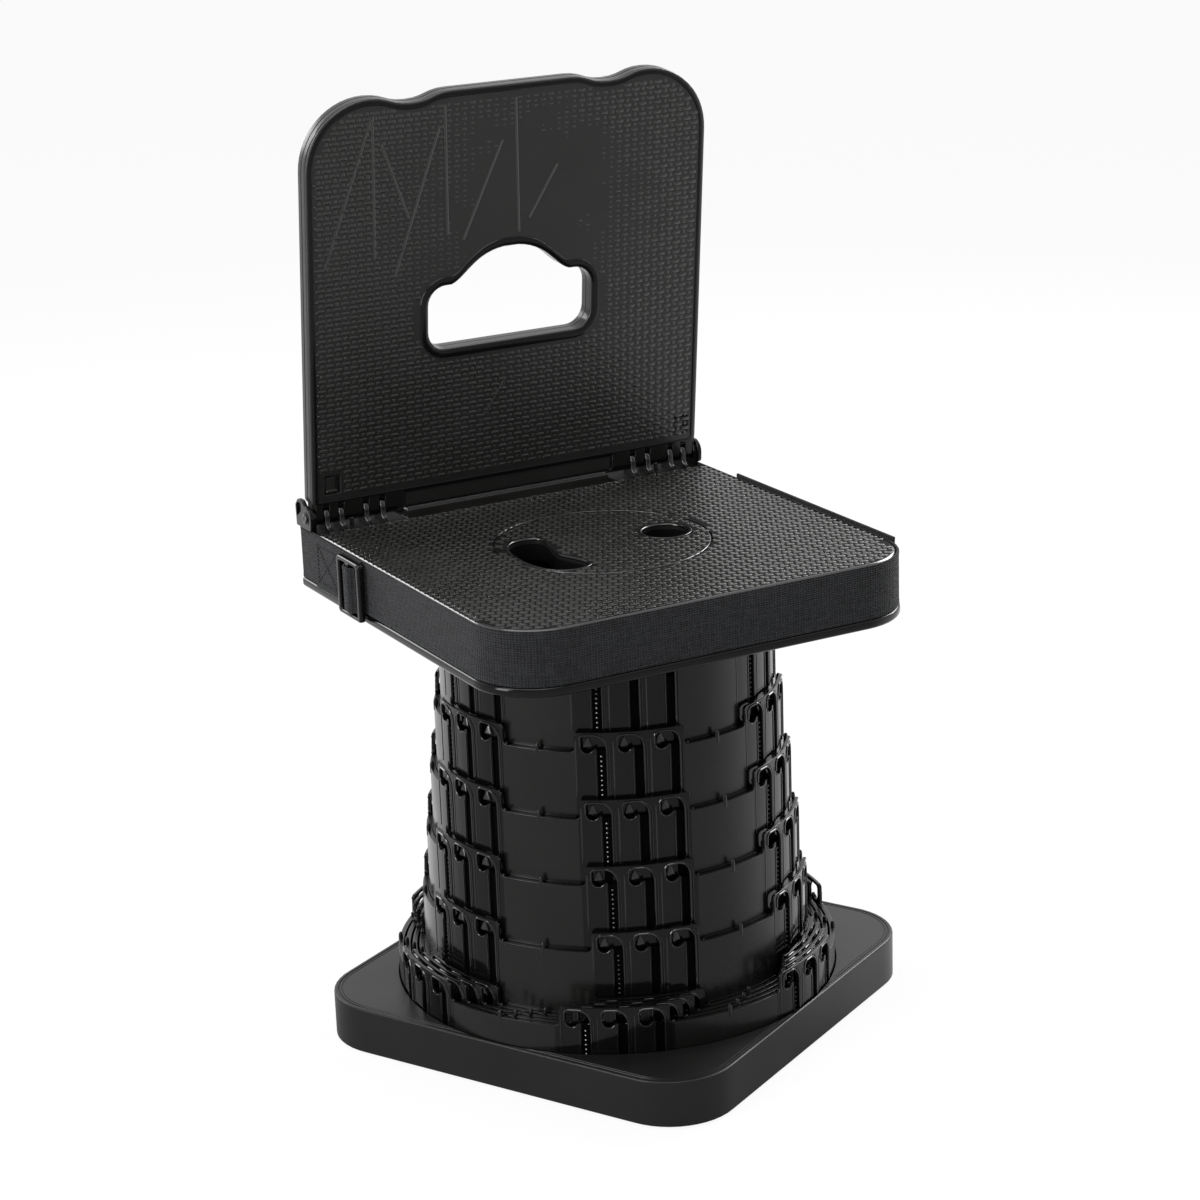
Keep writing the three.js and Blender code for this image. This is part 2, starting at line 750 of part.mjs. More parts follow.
function strapParts() {
  const group = new THREE.Group();
  const inner = trayHalf + seatGap;
  const low = flangeTop + seatGap;
  const high = low + webbingWidth;
  const band = bandSolid(flangeOverhang - seatGap, low, high);
  group.add(pieceMesh("strap_band", band, webbing));
  const face = inner + webbingThickness + seatGap;
  const doubled = block(face, face + webbingThickness, -seatSide / 2 + doubledFrontInset,
    seatSide / 2 - doubledBackInset, low + doubledRise, high + doubledRise);
  group.add(pieceMesh("strap_doubled", doubled, webbing));
  const tailBack = seatSide / 2 - tailInset;
  const tail = block(-face - webbingThickness, -face, tailBack - tailLength, tailBack, low, high);
  group.add(pieceMesh("strap_tail", tail, webbing));
  group.add(pieceMesh("slide_buckle", slideBuckle(face + webbingThickness + seatGap), glossyPlastic));
  return group;
}

function slideBuckle(face) {
  const low = flangeBottom + flangeThickness - buckleDrop;
  const high = low + buckleHeight;
  const middle = seatSide / 2 - buckleInset;
  const yLow = middle - buckleLength / 2;
  const yHigh = middle + buckleLength / 2;
  const frame = block(-face - buckleThickness, -face, yLow, yHigh, low, high);
  const slotLength = (buckleLength - 3 * buckleBar) / 2;
  const slots = [0, 1].map((index) => {
    const start = yLow + buckleBar + index * (slotLength + buckleBar);
    return block(-face - buckleThickness - cutOverrun, -face + cutOverrun, start, start + slotLength,
      low + buckleRail, high - buckleRail);
  });
  return cut(frame, slots);
}

// Backrest, drawn flat: x across, y up from the hinge axis
function backrestOutline(inset) {
  const half = backrestHalfWidth - inset;
  const low = lugRadius + backrestFootGap + inset;
  const high = backrestTop - inset;
  const corner = backrestTopCorner - inset;
  const foot = backrestBottomCorner - Math.min(inset, backrestBottomCorner / 2);
  const peak = half - corner;
  const dip = high - dipDepth;
  const easeA = (peak - dipX) / 2;
  const easeB = (dipX - crownHalfWidth) / 2;
  const shape = new THREE.Shape();
  shape.moveTo(-half + foot, low);
  shape.lineTo(half - foot, low);
  shape.lineTo(half, low + foot);
  shape.absarc(half - corner, high - corner, corner, 0, Math.PI / 2, false);
  shape.bezierCurveTo(peak - easeA, high, dipX + easeA, dip, dipX, dip);
  shape.bezierCurveTo(dipX - easeB, dip, crownHalfWidth + easeB, high, crownHalfWidth, high);
  shape.lineTo(-crownHalfWidth, high);
  shape.bezierCurveTo(-crownHalfWidth - easeB, high, -dipX + easeB, dip, -dipX, dip);
  shape.bezierCurveTo(-dipX - easeA, dip, -peak + easeA, high, -peak, high);
  shape.absarc(-half + corner, high - corner, corner, Math.PI / 2, Math.PI, false);
  shape.lineTo(-half, low + foot);
  shape.closePath();
  return shape;
}

function handHoleOutline(outset) {
  const half = handHoleHalfWidth + outset;
  const low = handHoleBottom - outset;
  const shoulder = handHoleShoulder + outset;
  const crown = handHoleCrown + outset;
  const corner = handHoleCorner + outset;
  const bend = handHoleShoulderX * handHoleShoulderShare;
  const top = handHoleShoulderX * handHoleCrownShare;
  const lift = shoulder + (crown - shoulder) * handHoleRiseShare;
  const shape = new THREE.Shape();
  shape.moveTo(-half + corner, low);
  shape.lineTo(half - corner, low);
  shape.absarc(half - corner, low + corner, corner, -Math.PI / 2, 0, false);
  shape.absarc(half - corner, shoulder - corner, corner, 0, Math.PI / 2, false);
  shape.lineTo(handHoleShoulderX, shoulder);
  shape.bezierCurveTo(bend, lift, top, crown, 0, crown);
  shape.bezierCurveTo(-top, crown, -bend, lift, -handHoleShoulderX, shoulder);
  shape.absarc(-half + corner, shoulder - corner, corner, Math.PI / 2, Math.PI, false);
  shape.absarc(-half + corner, low + corner, corner, Math.PI, (3 / 2) * Math.PI, false);
  shape.closePath();
  return shape;
}

// Knuckles fill the gaps between the lugs, with a web up into the panel's foot
function knuckles() {
  const bossInner = seatSide / 2 - earBossThickness;
  const stops = [blockInnerX + lugThickness, ...lugPlaces, bossInner + lugThickness / 2];
  const solids = [];
  for (const side of [-1, 1]) {
    for (let i = 0; i + 1 < stops.length; i += 1) {
      const near = stops[i] + (i === 0 ? 0 : lugThickness / 2 + seatGap);
      const far = stops[i + 1] - lugThickness / 2 - seatGap;
      const xLow = Math.min(side * near, side * far);
      const xHigh = Math.max(side * near, side * far);
      const barrel = sideSlab(circleShape(0, 0, knuckleRadius), xLow, xHigh);
      const web = block(xLow, xHigh, -knuckleRadius, frontRear(), 0,
        lugRadius + backrestFootGap + panelWall);
      solids.push(barrel.add(web));
    }
  }
  return solids;
}

function frontRear() {
  return frontPanelThickness - frontReach;
}

function rearFace() {
  return backrestThickness - frontReach;
}

// Stands a flat slab up: its x stays, its y turns up, and its thickness runs from front to back
function standUp(shape, yLow, yHigh, round = 0, curveSegments = cornerSegments) {
  const geometry = new THREE.ExtrudeGeometry(shape, {
    depth: yHigh - yLow - 2 * round,
    bevelEnabled: round > 0,
    bevelThickness: round,
    bevelSize: round,
    bevelOffset: -round,
    bevelSegments: 1,
    curveSegments,
  });
  geometry.rotateX(Math.PI / 2);
  geometry.translate(0, yHigh - round, 0);
  return solidOf(geometry);
}

function backrestFront() {
  const low = -frontReach;
  const high = frontRear();
  const whole = standUp(backrestOutline(0), low, high + backrestEdgeRound, backrestEdgeRound);
  const rearTrim = block(-seatSide, seatSide, high, high + backrestThickness, -backrestThickness, seatSide);
  const pocket = standUp(backrestOutline(panelWall), low + panelSkin, high + cutOverrun);
  const collar = standUp(handHoleOutline(panelWall), low, high);
  const hole = standUp(handHoleOutline(0), low - cutOverrun, high + cutOverrun);
  const bosses = backrestScrewPlaces().map(
    ([x, z]) => sidePost(baseBossRadius, low + weldBite, high, x, z));
  const lipHalf = blockInnerX - lipEndGap;
  const lip = block(-lipHalf, lipHalf, low, high, -lipDrop, lugRadius + backrestFootGap + panelWall);
  const shell = join([whole.subtract(rearTrim).subtract(pocket), collar, lip, ...bosses, ...knuckles()]);
  const pinBore = rod(pinRadius + pinClearance, -seatSide, seatSide, 0, 0, screwFacets);
  const screwBores = backrestScrewPlaces().map(([x, z]) => sidePost(screwShankRadius + boreSlack,
    low + panelSkin, high + cutOverrun, x, z));
  return cut(shell, [hole, pinBore, ...screwBores]);
}

function backrestRear() {
  const low = frontRear() + seatGap;
  const high = rearFace();
  const whole = standUp(backrestOutline(0), low - backrestEdgeRound, high, backrestEdgeRound);
  const frontTrim = block(-seatSide, seatSide, low - backrestThickness, low, -backrestThickness, seatSide);
  const pocket = standUp(backrestOutline(panelWall), low - cutOverrun, high - panelSkin);
  const collar = standUp(handHoleOutline(panelWall), low, high);
  const hole = standUp(handHoleOutline(0), low - cutOverrun, high + cutOverrun);
  const bosses = backrestScrewPlaces().map(
    ([x, z]) => sidePost(baseBossRadius, low, high - weldBite, x, z));
  const bores = backrestScrewPlaces().flatMap(([x, z]) => [
    sidePost(screwHeadRadius + boreSlack, high - screwHeadThickness - seatGap, high + cutOverrun, x, z),
    sidePost(screwShankRadius + boreSlack, low - cutOverrun, high, x, z),
  ]);
  return cut(join([whole.subtract(frontTrim).subtract(pocket), collar, ...bosses]), [hole, ...bores]);
}

function sidePost(radius, yLow, yHigh, x, z) {
  const geometry = new THREE.CylinderGeometry(radius, radius, yHigh - yLow, screwFacets);
  geometry.translate(x, (yLow + yHigh) / 2, z);
  return solidOf(geometry);
}

function backrestScrewPlaces() {
  const reach = backrestHalfWidth - backrestScrewInset;
  return [-1, 1].flatMap((side) => [backrestScrewLow, backrestScrewHigh].map((z) => [side * reach, z]));
}

function backrestGroup() {
  const group = new THREE.Group();
  group.position.set(0, hingeY, hingeZ);
  group.rotation.x = THREE.MathUtils.degToRad(backrestLeanDegrees);
  group.add(pieceMesh("backrest_front", backrestFront(), satinPlastic));
  group.add(pieceMesh("backrest_rear", backrestRear(), satinPlastic));
  backrestScrewPlaces().forEach(([x, z], index) => {
    const mesh = pieceMesh(`backrest_screw_${index + 1}`, screwSolid(screwLength), steel);
    mesh.rotation.x = Math.PI / 2;
    mesh.position.set(x, rearFace(), z);
    group.add(mesh);
  });
  return group;
}

function seatGroup() {
  const group = new THREE.Group();
  group.add(pieceMesh("seat_tray", seatTray(), glossyPlastic));
  group.add(pieceMesh("seat_top", seatTopSolid(), wovenPlastic));
  group.add(pieceMesh("seat_lid", seatLid(), wovenPlastic));
  group.add(...screwMeshes("seat_screw", seatScrewPlaces(), flangeBottom));
  group.add(pieceMesh("hinge_block_left", hingeBlock(-1), glossyPlastic));
  group.add(pieceMesh("hinge_block_right", hingeBlock(1), glossyPlastic));
  group.add(pieceMesh("hinge_pin_left", hingePin(-1), steel));
  group.add(pieceMesh("hinge_pin_right", hingePin(1), steel));
  group.add(...screwMeshes("hinge_screw", hingeScrewPlaces(), hingeScrewHead(), hingeScrewLength));
  return group;
}

const stool = new THREE.Group();
stool.add(baseGroup(), columnGroup(), seatGroup(), strapParts(), backrestGroup());

export default stool;
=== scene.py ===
# %% [markdown]
# # A folding stool of nine telescoping rings, dressed for its portrait
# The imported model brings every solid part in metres, each on the body that it moves with.
# This lesson keeps that frame and lays finer meshes and finishes over it: rolled edges, arched
# windows, a basket emboss, woven straps, stitches and screws. Lengths are written in millimetres.

import math
from functools import partial

import bmesh
import bpy
from mathutils import Matrix, Vector


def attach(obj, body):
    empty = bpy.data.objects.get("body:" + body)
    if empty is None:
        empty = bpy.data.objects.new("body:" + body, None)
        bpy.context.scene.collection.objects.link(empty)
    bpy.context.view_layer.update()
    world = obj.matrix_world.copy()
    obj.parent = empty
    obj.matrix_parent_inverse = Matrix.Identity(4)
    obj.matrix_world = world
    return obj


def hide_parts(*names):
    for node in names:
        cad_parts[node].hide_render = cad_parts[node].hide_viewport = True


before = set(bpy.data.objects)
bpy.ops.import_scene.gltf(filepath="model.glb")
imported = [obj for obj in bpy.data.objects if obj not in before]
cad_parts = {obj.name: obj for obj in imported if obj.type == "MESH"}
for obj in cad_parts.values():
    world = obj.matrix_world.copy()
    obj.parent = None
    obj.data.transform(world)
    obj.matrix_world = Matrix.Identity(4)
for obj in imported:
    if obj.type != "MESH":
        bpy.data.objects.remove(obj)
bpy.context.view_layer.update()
scene = bpy.context.scene
MM = 0.001

# %% [markdown]
# ## Camera
# The photograph was matched by its vanishing lines and by the seat's known corners. That gives a
# turn, a rise, a small roll and a distance, and the lens follows from the picture's width in
# pixels.

# %% The camera at the photograph's place
CAMERA_TURN = math.radians(-28.56)
CAMERA_RISE = math.radians(17.61)
CAMERA_ROLL = math.radians(-2.05)
CAMERA_DISTANCE = 1965.5
AIM_SIDE = -3.09
AIM_HEIGHT = 285.3
PHOTO_WIDTH_PX = 1200
FOCAL_PX = 3021.6
SENSOR_WIDTH = 36
SIGHT_METRES = 100


def new_object(name, data):
    obj = bpy.data.objects.new(name, data)
    scene.collection.objects.link(obj)
    return obj


def place_camera():
    back = Vector((math.sin(CAMERA_TURN) * math.cos(CAMERA_RISE),
                   -math.cos(CAMERA_TURN) * math.cos(CAMERA_RISE), math.sin(CAMERA_RISE)))
    right = (-back).cross(Vector((0, 0, 1))).normalized()
    up = right.cross(-back)
    cos_roll, sin_roll = math.cos(CAMERA_ROLL), math.sin(CAMERA_ROLL)
    rolled_right = cos_roll * right + sin_roll * up
    rolled_up = cos_roll * up - sin_roll * right
    place = Vector((0, 0, AIM_HEIGHT)) + right * AIM_SIDE + back * CAMERA_DISTANCE
    data = bpy.data.cameras.new("camera")
    data.sensor_width = SENSOR_WIDTH
    data.lens = SENSOR_WIDTH * FOCAL_PX / PHOTO_WIDTH_PX
    data.clip_end = SIGHT_METRES
    scene.camera = new_object("camera", data)
    turn = Matrix((rolled_right, rolled_up, back)).transposed().to_4x4()
    scene.camera.matrix_world = Matrix.Translation(place * MM) @ turn


place_camera()
print("camera at", [round(x, 3) for x in scene.camera.matrix_world.translation])

# %% [markdown]
# ## Nodes in one line each
# Every material and light below is a small graph. One function adds a node, sets its values and
# plugs its inputs, so a material reads from top to bottom like a recipe. A node given as an
# input stands for its first output.

# %% Helpers for nodes and colours
def plug(node, inputs):
    """Fills inputs by name or number: a node or a socket is linked, anything else is set."""
    for key, value in inputs.items():
        if isinstance(value, bpy.types.Node):
            value = value.outputs[0]
        if isinstance(value, bpy.types.NodeSocket):
            node.id_data.links.new(value, node.inputs[key])
        else:
            node.inputs[key].default_value = value


def add_node(tree, kind, inputs=None, **settings):
    node = tree.nodes.new(kind)
    for key, value in settings.items():
        setattr(node, key, value)
    plug(node, inputs or {})
    return node


def add_math(tree, kind, operation, *values):
    return add_node(tree, kind, dict(enumerate(values)), operation=operation)


def tools(tree):
    """Functions that add any node, a sum and a vector sum to that tree."""
    return (partial(add_node, tree), partial(add_math, tree, "ShaderNodeMath"),
            partial(add_math, tree, "ShaderNodeVectorMath"))


def new_material(name):
    """A material, its node tree and its Principled shader."""
    material = bpy.data.materials.new(name)
    material.use_nodes = True
    return material, material.node_tree, material.node_tree.nodes["Principled BSDF"]


def srgb(code):
    """A hex colour as linear red, green, blue and alpha."""
    def linear(part):
        return part / 12.92 if part <= 0.04045 else ((part + 0.055) / 1.055) ** 2.4
    return [linear(int(code[i:i + 2], 16) / 255) for i in (1, 3, 5)] + [1.0]


print("mid grey is", round(srgb("#808080")[0], 3), "in linear light")

# %% [markdown]
# ## Studio
# Glossy black shows what stands round it, so the white backdrop matters more than the lamps. The
# world and the floor are white for the camera. In reflections they are white towards the
# backdrop and fade to the dim room behind the camera, which keeps the faces towards us dark and
# lets the flanks shine. A real white wall could do the same, but a world has no edges to hide.

# %% World
WHITE = "#ffffff"
WORLD_LIGHT = 0.55
ROOM_LIGHT = 0.32
FADE_FROM, FADE_TO = -0.4, 0.5
AWAY = (math.cos(math.radians(50)), math.sin(math.radians(50)), 0)


def room(tree, direction):
    """Whether a camera, glossy or transmission ray asks, and how bright it finds the room. Only
    glossy rays see it fade, from one at the backdrop to ROOM_LIGHT on the camera's side."""
    node, calc, vector = tools(tree)
    rays = node("ShaderNodeLightPath").outputs
    ahead = vector("DOT_PRODUCT", vector("NORMALIZE", direction), AWAY)
    faded = node("ShaderNodeMapRange", {
        "Value": ahead.outputs["Value"], "From Min": FADE_FROM, "From Max": FADE_TO,
        "To Min": ROOM_LIGHT, "To Max": 1.0}, interpolation_type="SMOOTHSTEP")
    strength = node("ShaderNodeMapRange", {"Value": rays["Is Glossy Ray"], "To Min": 1.0,
                                           "To Max": faded})
    seen = calc("MAXIMUM", rays["Is Camera Ray"], rays["Is Glossy Ray"])
    return calc("MAXIMUM", seen, rays["Is Transmission Ray"]), strength


def make_world():
    scene.world = bpy.data.worlds.new("studio")
    scene.world.use_nodes = True
    tree = scene.world.node_tree
    tree.nodes.clear()
    node = partial(add_node, tree)
    seen, strength = room(tree, node("ShaderNodeTexCoord").outputs["Generated"])
    light, backdrop = (node("ShaderNodeBackground", {"Color": srgb(WHITE), "Strength": s})
                       for s in (WORLD_LIGHT, strength))
    mix = node("ShaderNodeMixShader", {0: seen, 1: light, 2: backdrop})
    node("ShaderNodeOutputWorld", {"Surface": mix})


make_world()
print("world:", scene.world.name)

# %% [markdown]
# The stool stands on white paper. A shadow has to fall on it and yet it has to be as white as the
# world, so its shader is a mix of matt paper and a glow that camera and glossy rays see.

# %% Floor
PAPER = "#f6f6f6"
FLOOR_SIDE = 60000
FLOOR_GLOW = 0.9


def make_floor():
    half = FLOOR_SIDE / 2 * MM
    mesh = bpy.data.meshes.new("floor")
    corners = [(-half, -half, 0), (half, -half, 0), (half, half, 0), (-half, half, 0)]
    mesh.from_pydata(corners, [], [(0, 1, 2, 3)])
    # Matt white paper that glows, so that it is as white as the world behind it.
    material, tree, shader = new_material("white_paper")
    plug(shader, {"Base Color": srgb(PAPER), "Roughness": 1.0, "Specular IOR Level": 0.0})
    node, calc, vector = tools(tree)
    seen, strength = room(tree, node("ShaderNodeNewGeometry").outputs["Position"])
    glow = node("ShaderNodeEmission", {"Strength": strength})
    mix = node("ShaderNodeMixShader", {0: calc("MULTIPLY", seen, FLOOR_GLOW), 1: shader, 2: glow})
    plug(tree.nodes["Material Output"], {"Surface": mix})
    mesh.materials.append(material)
    floor = new_object("floor", mesh)
    print("floor:", FLOOR_SIDE / 1000, "m a side")


make_floor()

# %% [markdown]
# Four soft lamps do the rest: the one on the left draws the bright line along the seat's left
# edge, the one on the right lifts the right flank, the one above shows the seat's weave, and the
# one behind parts the backrest from the backdrop.

# %% Lamps
def add_lamp(name, place, aim_height, size, power):
    data = bpy.data.lights.new(name, "AREA")
    data.shape = "RECTANGLE"
    data.size, data.size_y = size[0] * MM, size[1] * MM
    data.energy = power
    place, aim = Vector(place) * MM, Vector((0, 0, aim_height)) * MM
    turn = (place - aim).to_track_quat("Z", "Y").to_matrix().to_4x4()
    new_object(name, data).matrix_world = Matrix.Translation(place) @ turn


add_lamp("lamp_left", (-1900, -250, 900), 250, (700, 1500), 22)
add_lamp("lamp_right", (1700, 500, 1300), 250, (1200, 900), 33)
add_lamp("lamp_top", (-500, -300, 2300), 200, (2000, 1500), 23)
add_lamp("lamp_back", (-700, 2000, 1150), 300, (900, 700), 10)

# %% [markdown]
# ## Finishes
# Everything here is black, so the finishes part by gloss and grain, not by colour. Each material
# takes its pattern from Object coordinates, scaled from a real size, and ends in one Principled
# shader. The recipe function below adds grain as bump and a little roughness change.

# %% The plastic recipe
CLOUD_MM = 45
CLOUD_LOW, CLOUD_HIGH = 0.3, 0.7
GRAIN_BUMP = 0.6
PLASTIC_IOR = 1.5


def plastic(name, dark, light, roughness, spread, grain_mm, grain_depth, specular):
    """Moulded plastic: two near colours, a roughness that wanders by `spread`, and a bump grain."""
    material, tree, shader = new_material(name)
    node = partial(add_node, tree)
    place = node("ShaderNodeTexCoord").outputs["Object"]
    cloud = node("ShaderNodeTexNoise", {"Vector": place, "Scale": 1 / (CLOUD_MM * MM), "Detail": 2.0})
    grain = node("ShaderNodeTexNoise", {"Vector": place, "Scale": 1 / (grain_mm * MM), "Detail": 3.0})
    rough = node("ShaderNodeMapRange", {
        "Value": cloud, "From Min": CLOUD_LOW, "From Max": CLOUD_HIGH,
        "To Min": roughness - spread, "To Max": roughness + spread})
    bump = node("ShaderNodeBump", {"Height": grain, "Strength": GRAIN_BUMP,
                                   "Distance": grain_depth * MM})
    tint = node("ShaderNodeMix", {0: cloud, 6: srgb(dark), 7: srgb(light)}, data_type="RGBA")
    plug(shader, {"Base Color": tint.outputs[2], "Roughness": rough, "Normal": bump,
                  "IOR": PLASTIC_IOR, "Specular IOR Level": specular})
    return material


# Glossy polypropylene from a polished mould: black, with tall sharp highlights on every edge.
GLOSS = plastic("gloss_polypropylene", "#09090a", "#0c0c0c", 0.12, 0.03, 9, 0.05, 0.36)
# The same black with a duller skin: the column's plain panels, the rear cover, the knuckles.
PANEL = plastic("panel_polypropylene", "#10100f", "#131312", 0.26, 0.04, 1.2, 0.03, 0.5)
# The raised trim of the windows, polished by the mould, catches the light first.
TRIM = plastic("trim_polypropylene", "#0e0e0f", "#121213", 0.14, 0.04, 6, 0.03, 0.85)
# Teeth, beads, lugs, rolled edges and the rims of the finger holes shine like a mirror.
MIRROR = plastic("mirror_polypropylene", "#101011", "#141415", 0.14, 0.02, 6, 0.03, 1.0)
# Painted shade: a near-black copy of the plastic for the feet of the arcades, which lie deep in
# the next ring, and for the backs of the slots.
PAINTED_DEEP_SHADE = plastic("painted_deep_shade_polypropylene", "#030303", "#050505", 0.5, 0.04, 9, 0.05, 0.02)
# Satin polypropylene from a sandblasted mould: the same black, its fine grit spreading the light.
# Its real grit of about 0.1 mm is too fine to show, so it is drawn at 0.9 mm.
SATIN = plastic("satin_polypropylene", "#131313", "#171716", 0.38, 0.04, 0.9, 0.05, 0.36)
# Embossed polypropylene: a lighter, more reflective copy of the backrest's plastic, which paints a
# sheen on the crowns of the basket relief.
EMBOSSED = plastic("embossed_polypropylene", "#222120", "#282726", 0.28, 0.05, 1.6, 0.04, 1.0)
# The backrest's smooth skin round the emboss.
BORDER = plastic("backrest_polypropylene", "#1e1e1d", "#222221", 0.32, 0.05, 1.2, 0.03, 0.55)
# The seat's plate has the same emboss. The flat top between its pillows gets a darker, duller
# copy of the plastic, which paints shade into the valleys.
SEAT = plastic("seat_polypropylene", "#181715", "#1e1d1b", 0.28, 0.05, 1.6, 0.04, 1.0)
PAINTED_FLAT_SHADE = plastic("painted_flat_shade_polypropylene", "#0b0b0a", "#0e0e0d", 0.6, 0.05, 1.6, 0.04, 0.06)
# Thermoplastic rubber of the feet: matt and a little dusty.
RUBBER = plastic("foot_rubber", "#121212", "#181818", 0.8, 0.08, 0.8, 0.08, 0.3)
print("plastics:", [m.name for m in bpy.data.materials if "polypropylene" in m.name])

# %% [markdown]
# Webbing is polypropylene yarn woven into a flat band. Its picks cross the band every two
# millimetres and its warp runs along it in fine ribs, and some yarns are lighter than others.
# The pattern follows the strap, so it reads the strap's own UV map, which holds real millimetres
# along and across the band. A photographed weave could be wrapped on instead, but two crossing
# waves and a noise drawn out along the yarns stay sharp at any distance.

# %% Webbing
WARP_PITCH = 1.45
PICK_PITCH = 1.9
PICK_SHARE = 0.55
WARP_STRETCH = (1 / 16, 1 / 1.4, 1)
PICK_STRETCH = (1 / 1.9, 1 / 11, 1)
SLUB_SHARE = 5.0
DARK_YARN, LIGHT_YARN = 3.2, 6.8
WEAVE_RELIEF_MM = 0.3


def webbing_material():
    material, tree, shader = new_material("polypropylene_webbing")
    node, calc, vector = tools(tree)
    uv = node("ShaderNodeUVMap", uv_map="UVMap")
    parts = node("ShaderNodeSeparateXYZ", {0: uv}).outputs

    def ridge(along, pitch):
        return calc("SINE", calc("MULTIPLY", along, 2 * math.pi / pitch))

    def yarns(stretch):
        """Light and dark yarns, as a noise drawn out along one way of the weave."""
        return node("ShaderNodeTexNoise", {"Vector": vector("MULTIPLY", uv, stretch), "Scale": 1.0,
                                           "Detail": 2.0})

    picks, warp = ridge(parts["X"], PICK_PITCH), ridge(parts["Y"], WARP_PITCH)
    weave = calc("MULTIPLY_ADD", picks, PICK_SHARE, warp)
    fuzz = node("ShaderNodeTexNoise", {"Vector": uv, "Scale": 1.3, "Detail": 4.0})
    slubs = calc("ADD", yarns(WARP_STRETCH), yarns(PICK_STRETCH))
    tint = node("ShaderNodeMapRange", {"Value": calc("MULTIPLY_ADD", slubs, SLUB_SHARE, weave),
                                       "From Min": DARK_YARN, "From Max": LIGHT_YARN})
    color = node("ShaderNodeMix", {0: tint, 6: srgb("#050506"), 7: srgb("#35363a")},
                 data_type="RGBA")
    dusted = node("ShaderNodeMix", {0: fuzz, 6: color.outputs[2], 7: srgb("#1a1b1c")},
                  data_type="RGBA")
    bump = node("ShaderNodeBump", {"Height": weave, "Strength": 0.9,
                                   "Distance": WEAVE_RELIEF_MM * MM})
    plug(shader, {"Base Color": dusted.outputs[2], "Normal": bump, "Roughness": 0.78,
                  "Specular IOR Level": 0.16, "Sheen Weight": 0.08})
    return material


# Woven polypropylene yarn: matt, with a faint fuzz that lifts its edges.
WEBBING = webbing_material()
print("weave:", PICK_PITCH, "mm by", WARP_PITCH, "mm")

# %% [markdown]
# Screws and pins are blackened steel. It is the only metal, a dull grey whose brushed grain
# changes how rough it is, so a noise goes straight into the roughness.

# %% Steel
BRUSH_MM = 0.8


def steel_material():
    material, tree, shader = new_material("blackened_steel")
    place = add_node(tree, "ShaderNodeTexCoord").outputs["Object"]
    brush = add_node(tree, "ShaderNodeTexNoise", {"Vector": place, "Scale": 1 / (BRUSH_MM * MM),
                                                  "Detail": 3.0})
    rough = add_node(tree, "ShaderNodeMapRange", {"Value": brush, "To Min": 0.25, "To Max": 0.5})
    plug(shader, {"Roughness": rough, "Base Color": srgb("#6c6c70"), "Metallic": 1.0})
    return material


# Blackened steel of the screws and pins: a dull grey metal.
STEEL = steel_material()
print("materials:", len(bpy.data.materials))

# %% [markdown]
# ## From an outline to a moulding
# Nearly every part of this stool is a flat outline given thickness, with rolled edges and holes.
# A curve with a bevel could do that, but its bevel is the same everywhere. So one function stacks
# inset copies of the outlines and fills the two faces, which gives each edge its own roll.

# %% Outline helpers
CORNERS = [(x, y) for x in (-1, 1) for y in (-1, 1)]


def arc(x, y, radius, start, end, steps=8):
    """Points on an arc, its angles in degrees."""
    turns = [math.radians(start + (end - start) * i / steps) for i in range(steps + 1)]
    return [(x + radius * math.cos(t), y + radius * math.sin(t)) for t in turns]


def circle(x, y, radius, steps=64):
    return arc(x, y, radius, 0, 360, steps)[:-1]


def rectangle(x0, x1, y0, y1):
    return [(x0, y0), (x1, y0), (x1, y1), (x0, y1)]


def rounded_box(x0, x1, y0, y1, corner=1.0, rear=None, steps=3):
    """A box outline, counter-clockwise, whose two rear corners (+Y) may be tighter."""
    rear = corner if rear is None else rear
    return (arc(x1 - rear, y1 - rear, rear, 0, 90, steps)
            + arc(x0 + rear, y1 - rear, rear, 90, 180, steps)
            + arc(x0 + corner, y0 + corner, corner, 180, 270, steps)
            + arc(x1 - corner, y0 + corner, corner, 270, 360, steps))


def rounded_square(half, corner, rear, steps):
    return rounded_box(-half, half, -half, half, corner, rear, steps)


print("a rounded box has", len(rounded_box(0, 10, 0, 10)), "points")

# %% [markdown]
# Free shapes come from chained cubic curves. Any outline can then be moved inwards by a small
# distance, and that is all that a rolled edge needs, because each of its steps is such a move.

# %% Curves and insets
def between(a, b, i, count):
    """The point that is `i` of `count` steps on the way from a to b."""
    return tuple(p + (q - p) * i / count for p, q in zip(a, b))


def curve(points, steps=8):
    """Points on a chain of cubic curves, without its last end; every third point lies on it."""
    path = []
    for ends in zip(points[::3], points[1::3], points[2::3], points[3::3]):
        for i in range(steps):
            t = i / steps
            s = 1 - t
            shares = (s ** 3, 3 * s * s * t, 3 * s * t * t, t ** 3)
            path.append(tuple(sum(share * p[n] for share, p in zip(shares, ends)) for n in (0, 1)))
    return path


def is_clockwise(points):
    return sum(a[0] * b[1] - b[0] * a[1] for a, b in zip(points, points[1:] + points[:1])) < 0


def inset(points, distance):
    """The outline moved inwards by a small distance, each point along its own mitre."""
    side = -1 if is_clockwise(points) else 1
    moved = []
    for before, here, after in zip(points[-1:] + points[:-1], points, points[1:] + points[:1]):
        a = (Vector(here) - Vector(before)).normalized()
        b = (Vector(after) - Vector(here)).normalized()
        normal = Vector((-a.y - b.y, a.x + b.x)) * side
        if normal.length < 1e-6:
            normal = Vector((-a.y, a.x)) * side
        normal.normalize()
        lean = max(0.35, normal.dot(Vector((-a.y, a.x)) * side))
        moved.append((here[0] + normal.x * distance / lean, here[1] + normal.y * distance / lean))
    return moved


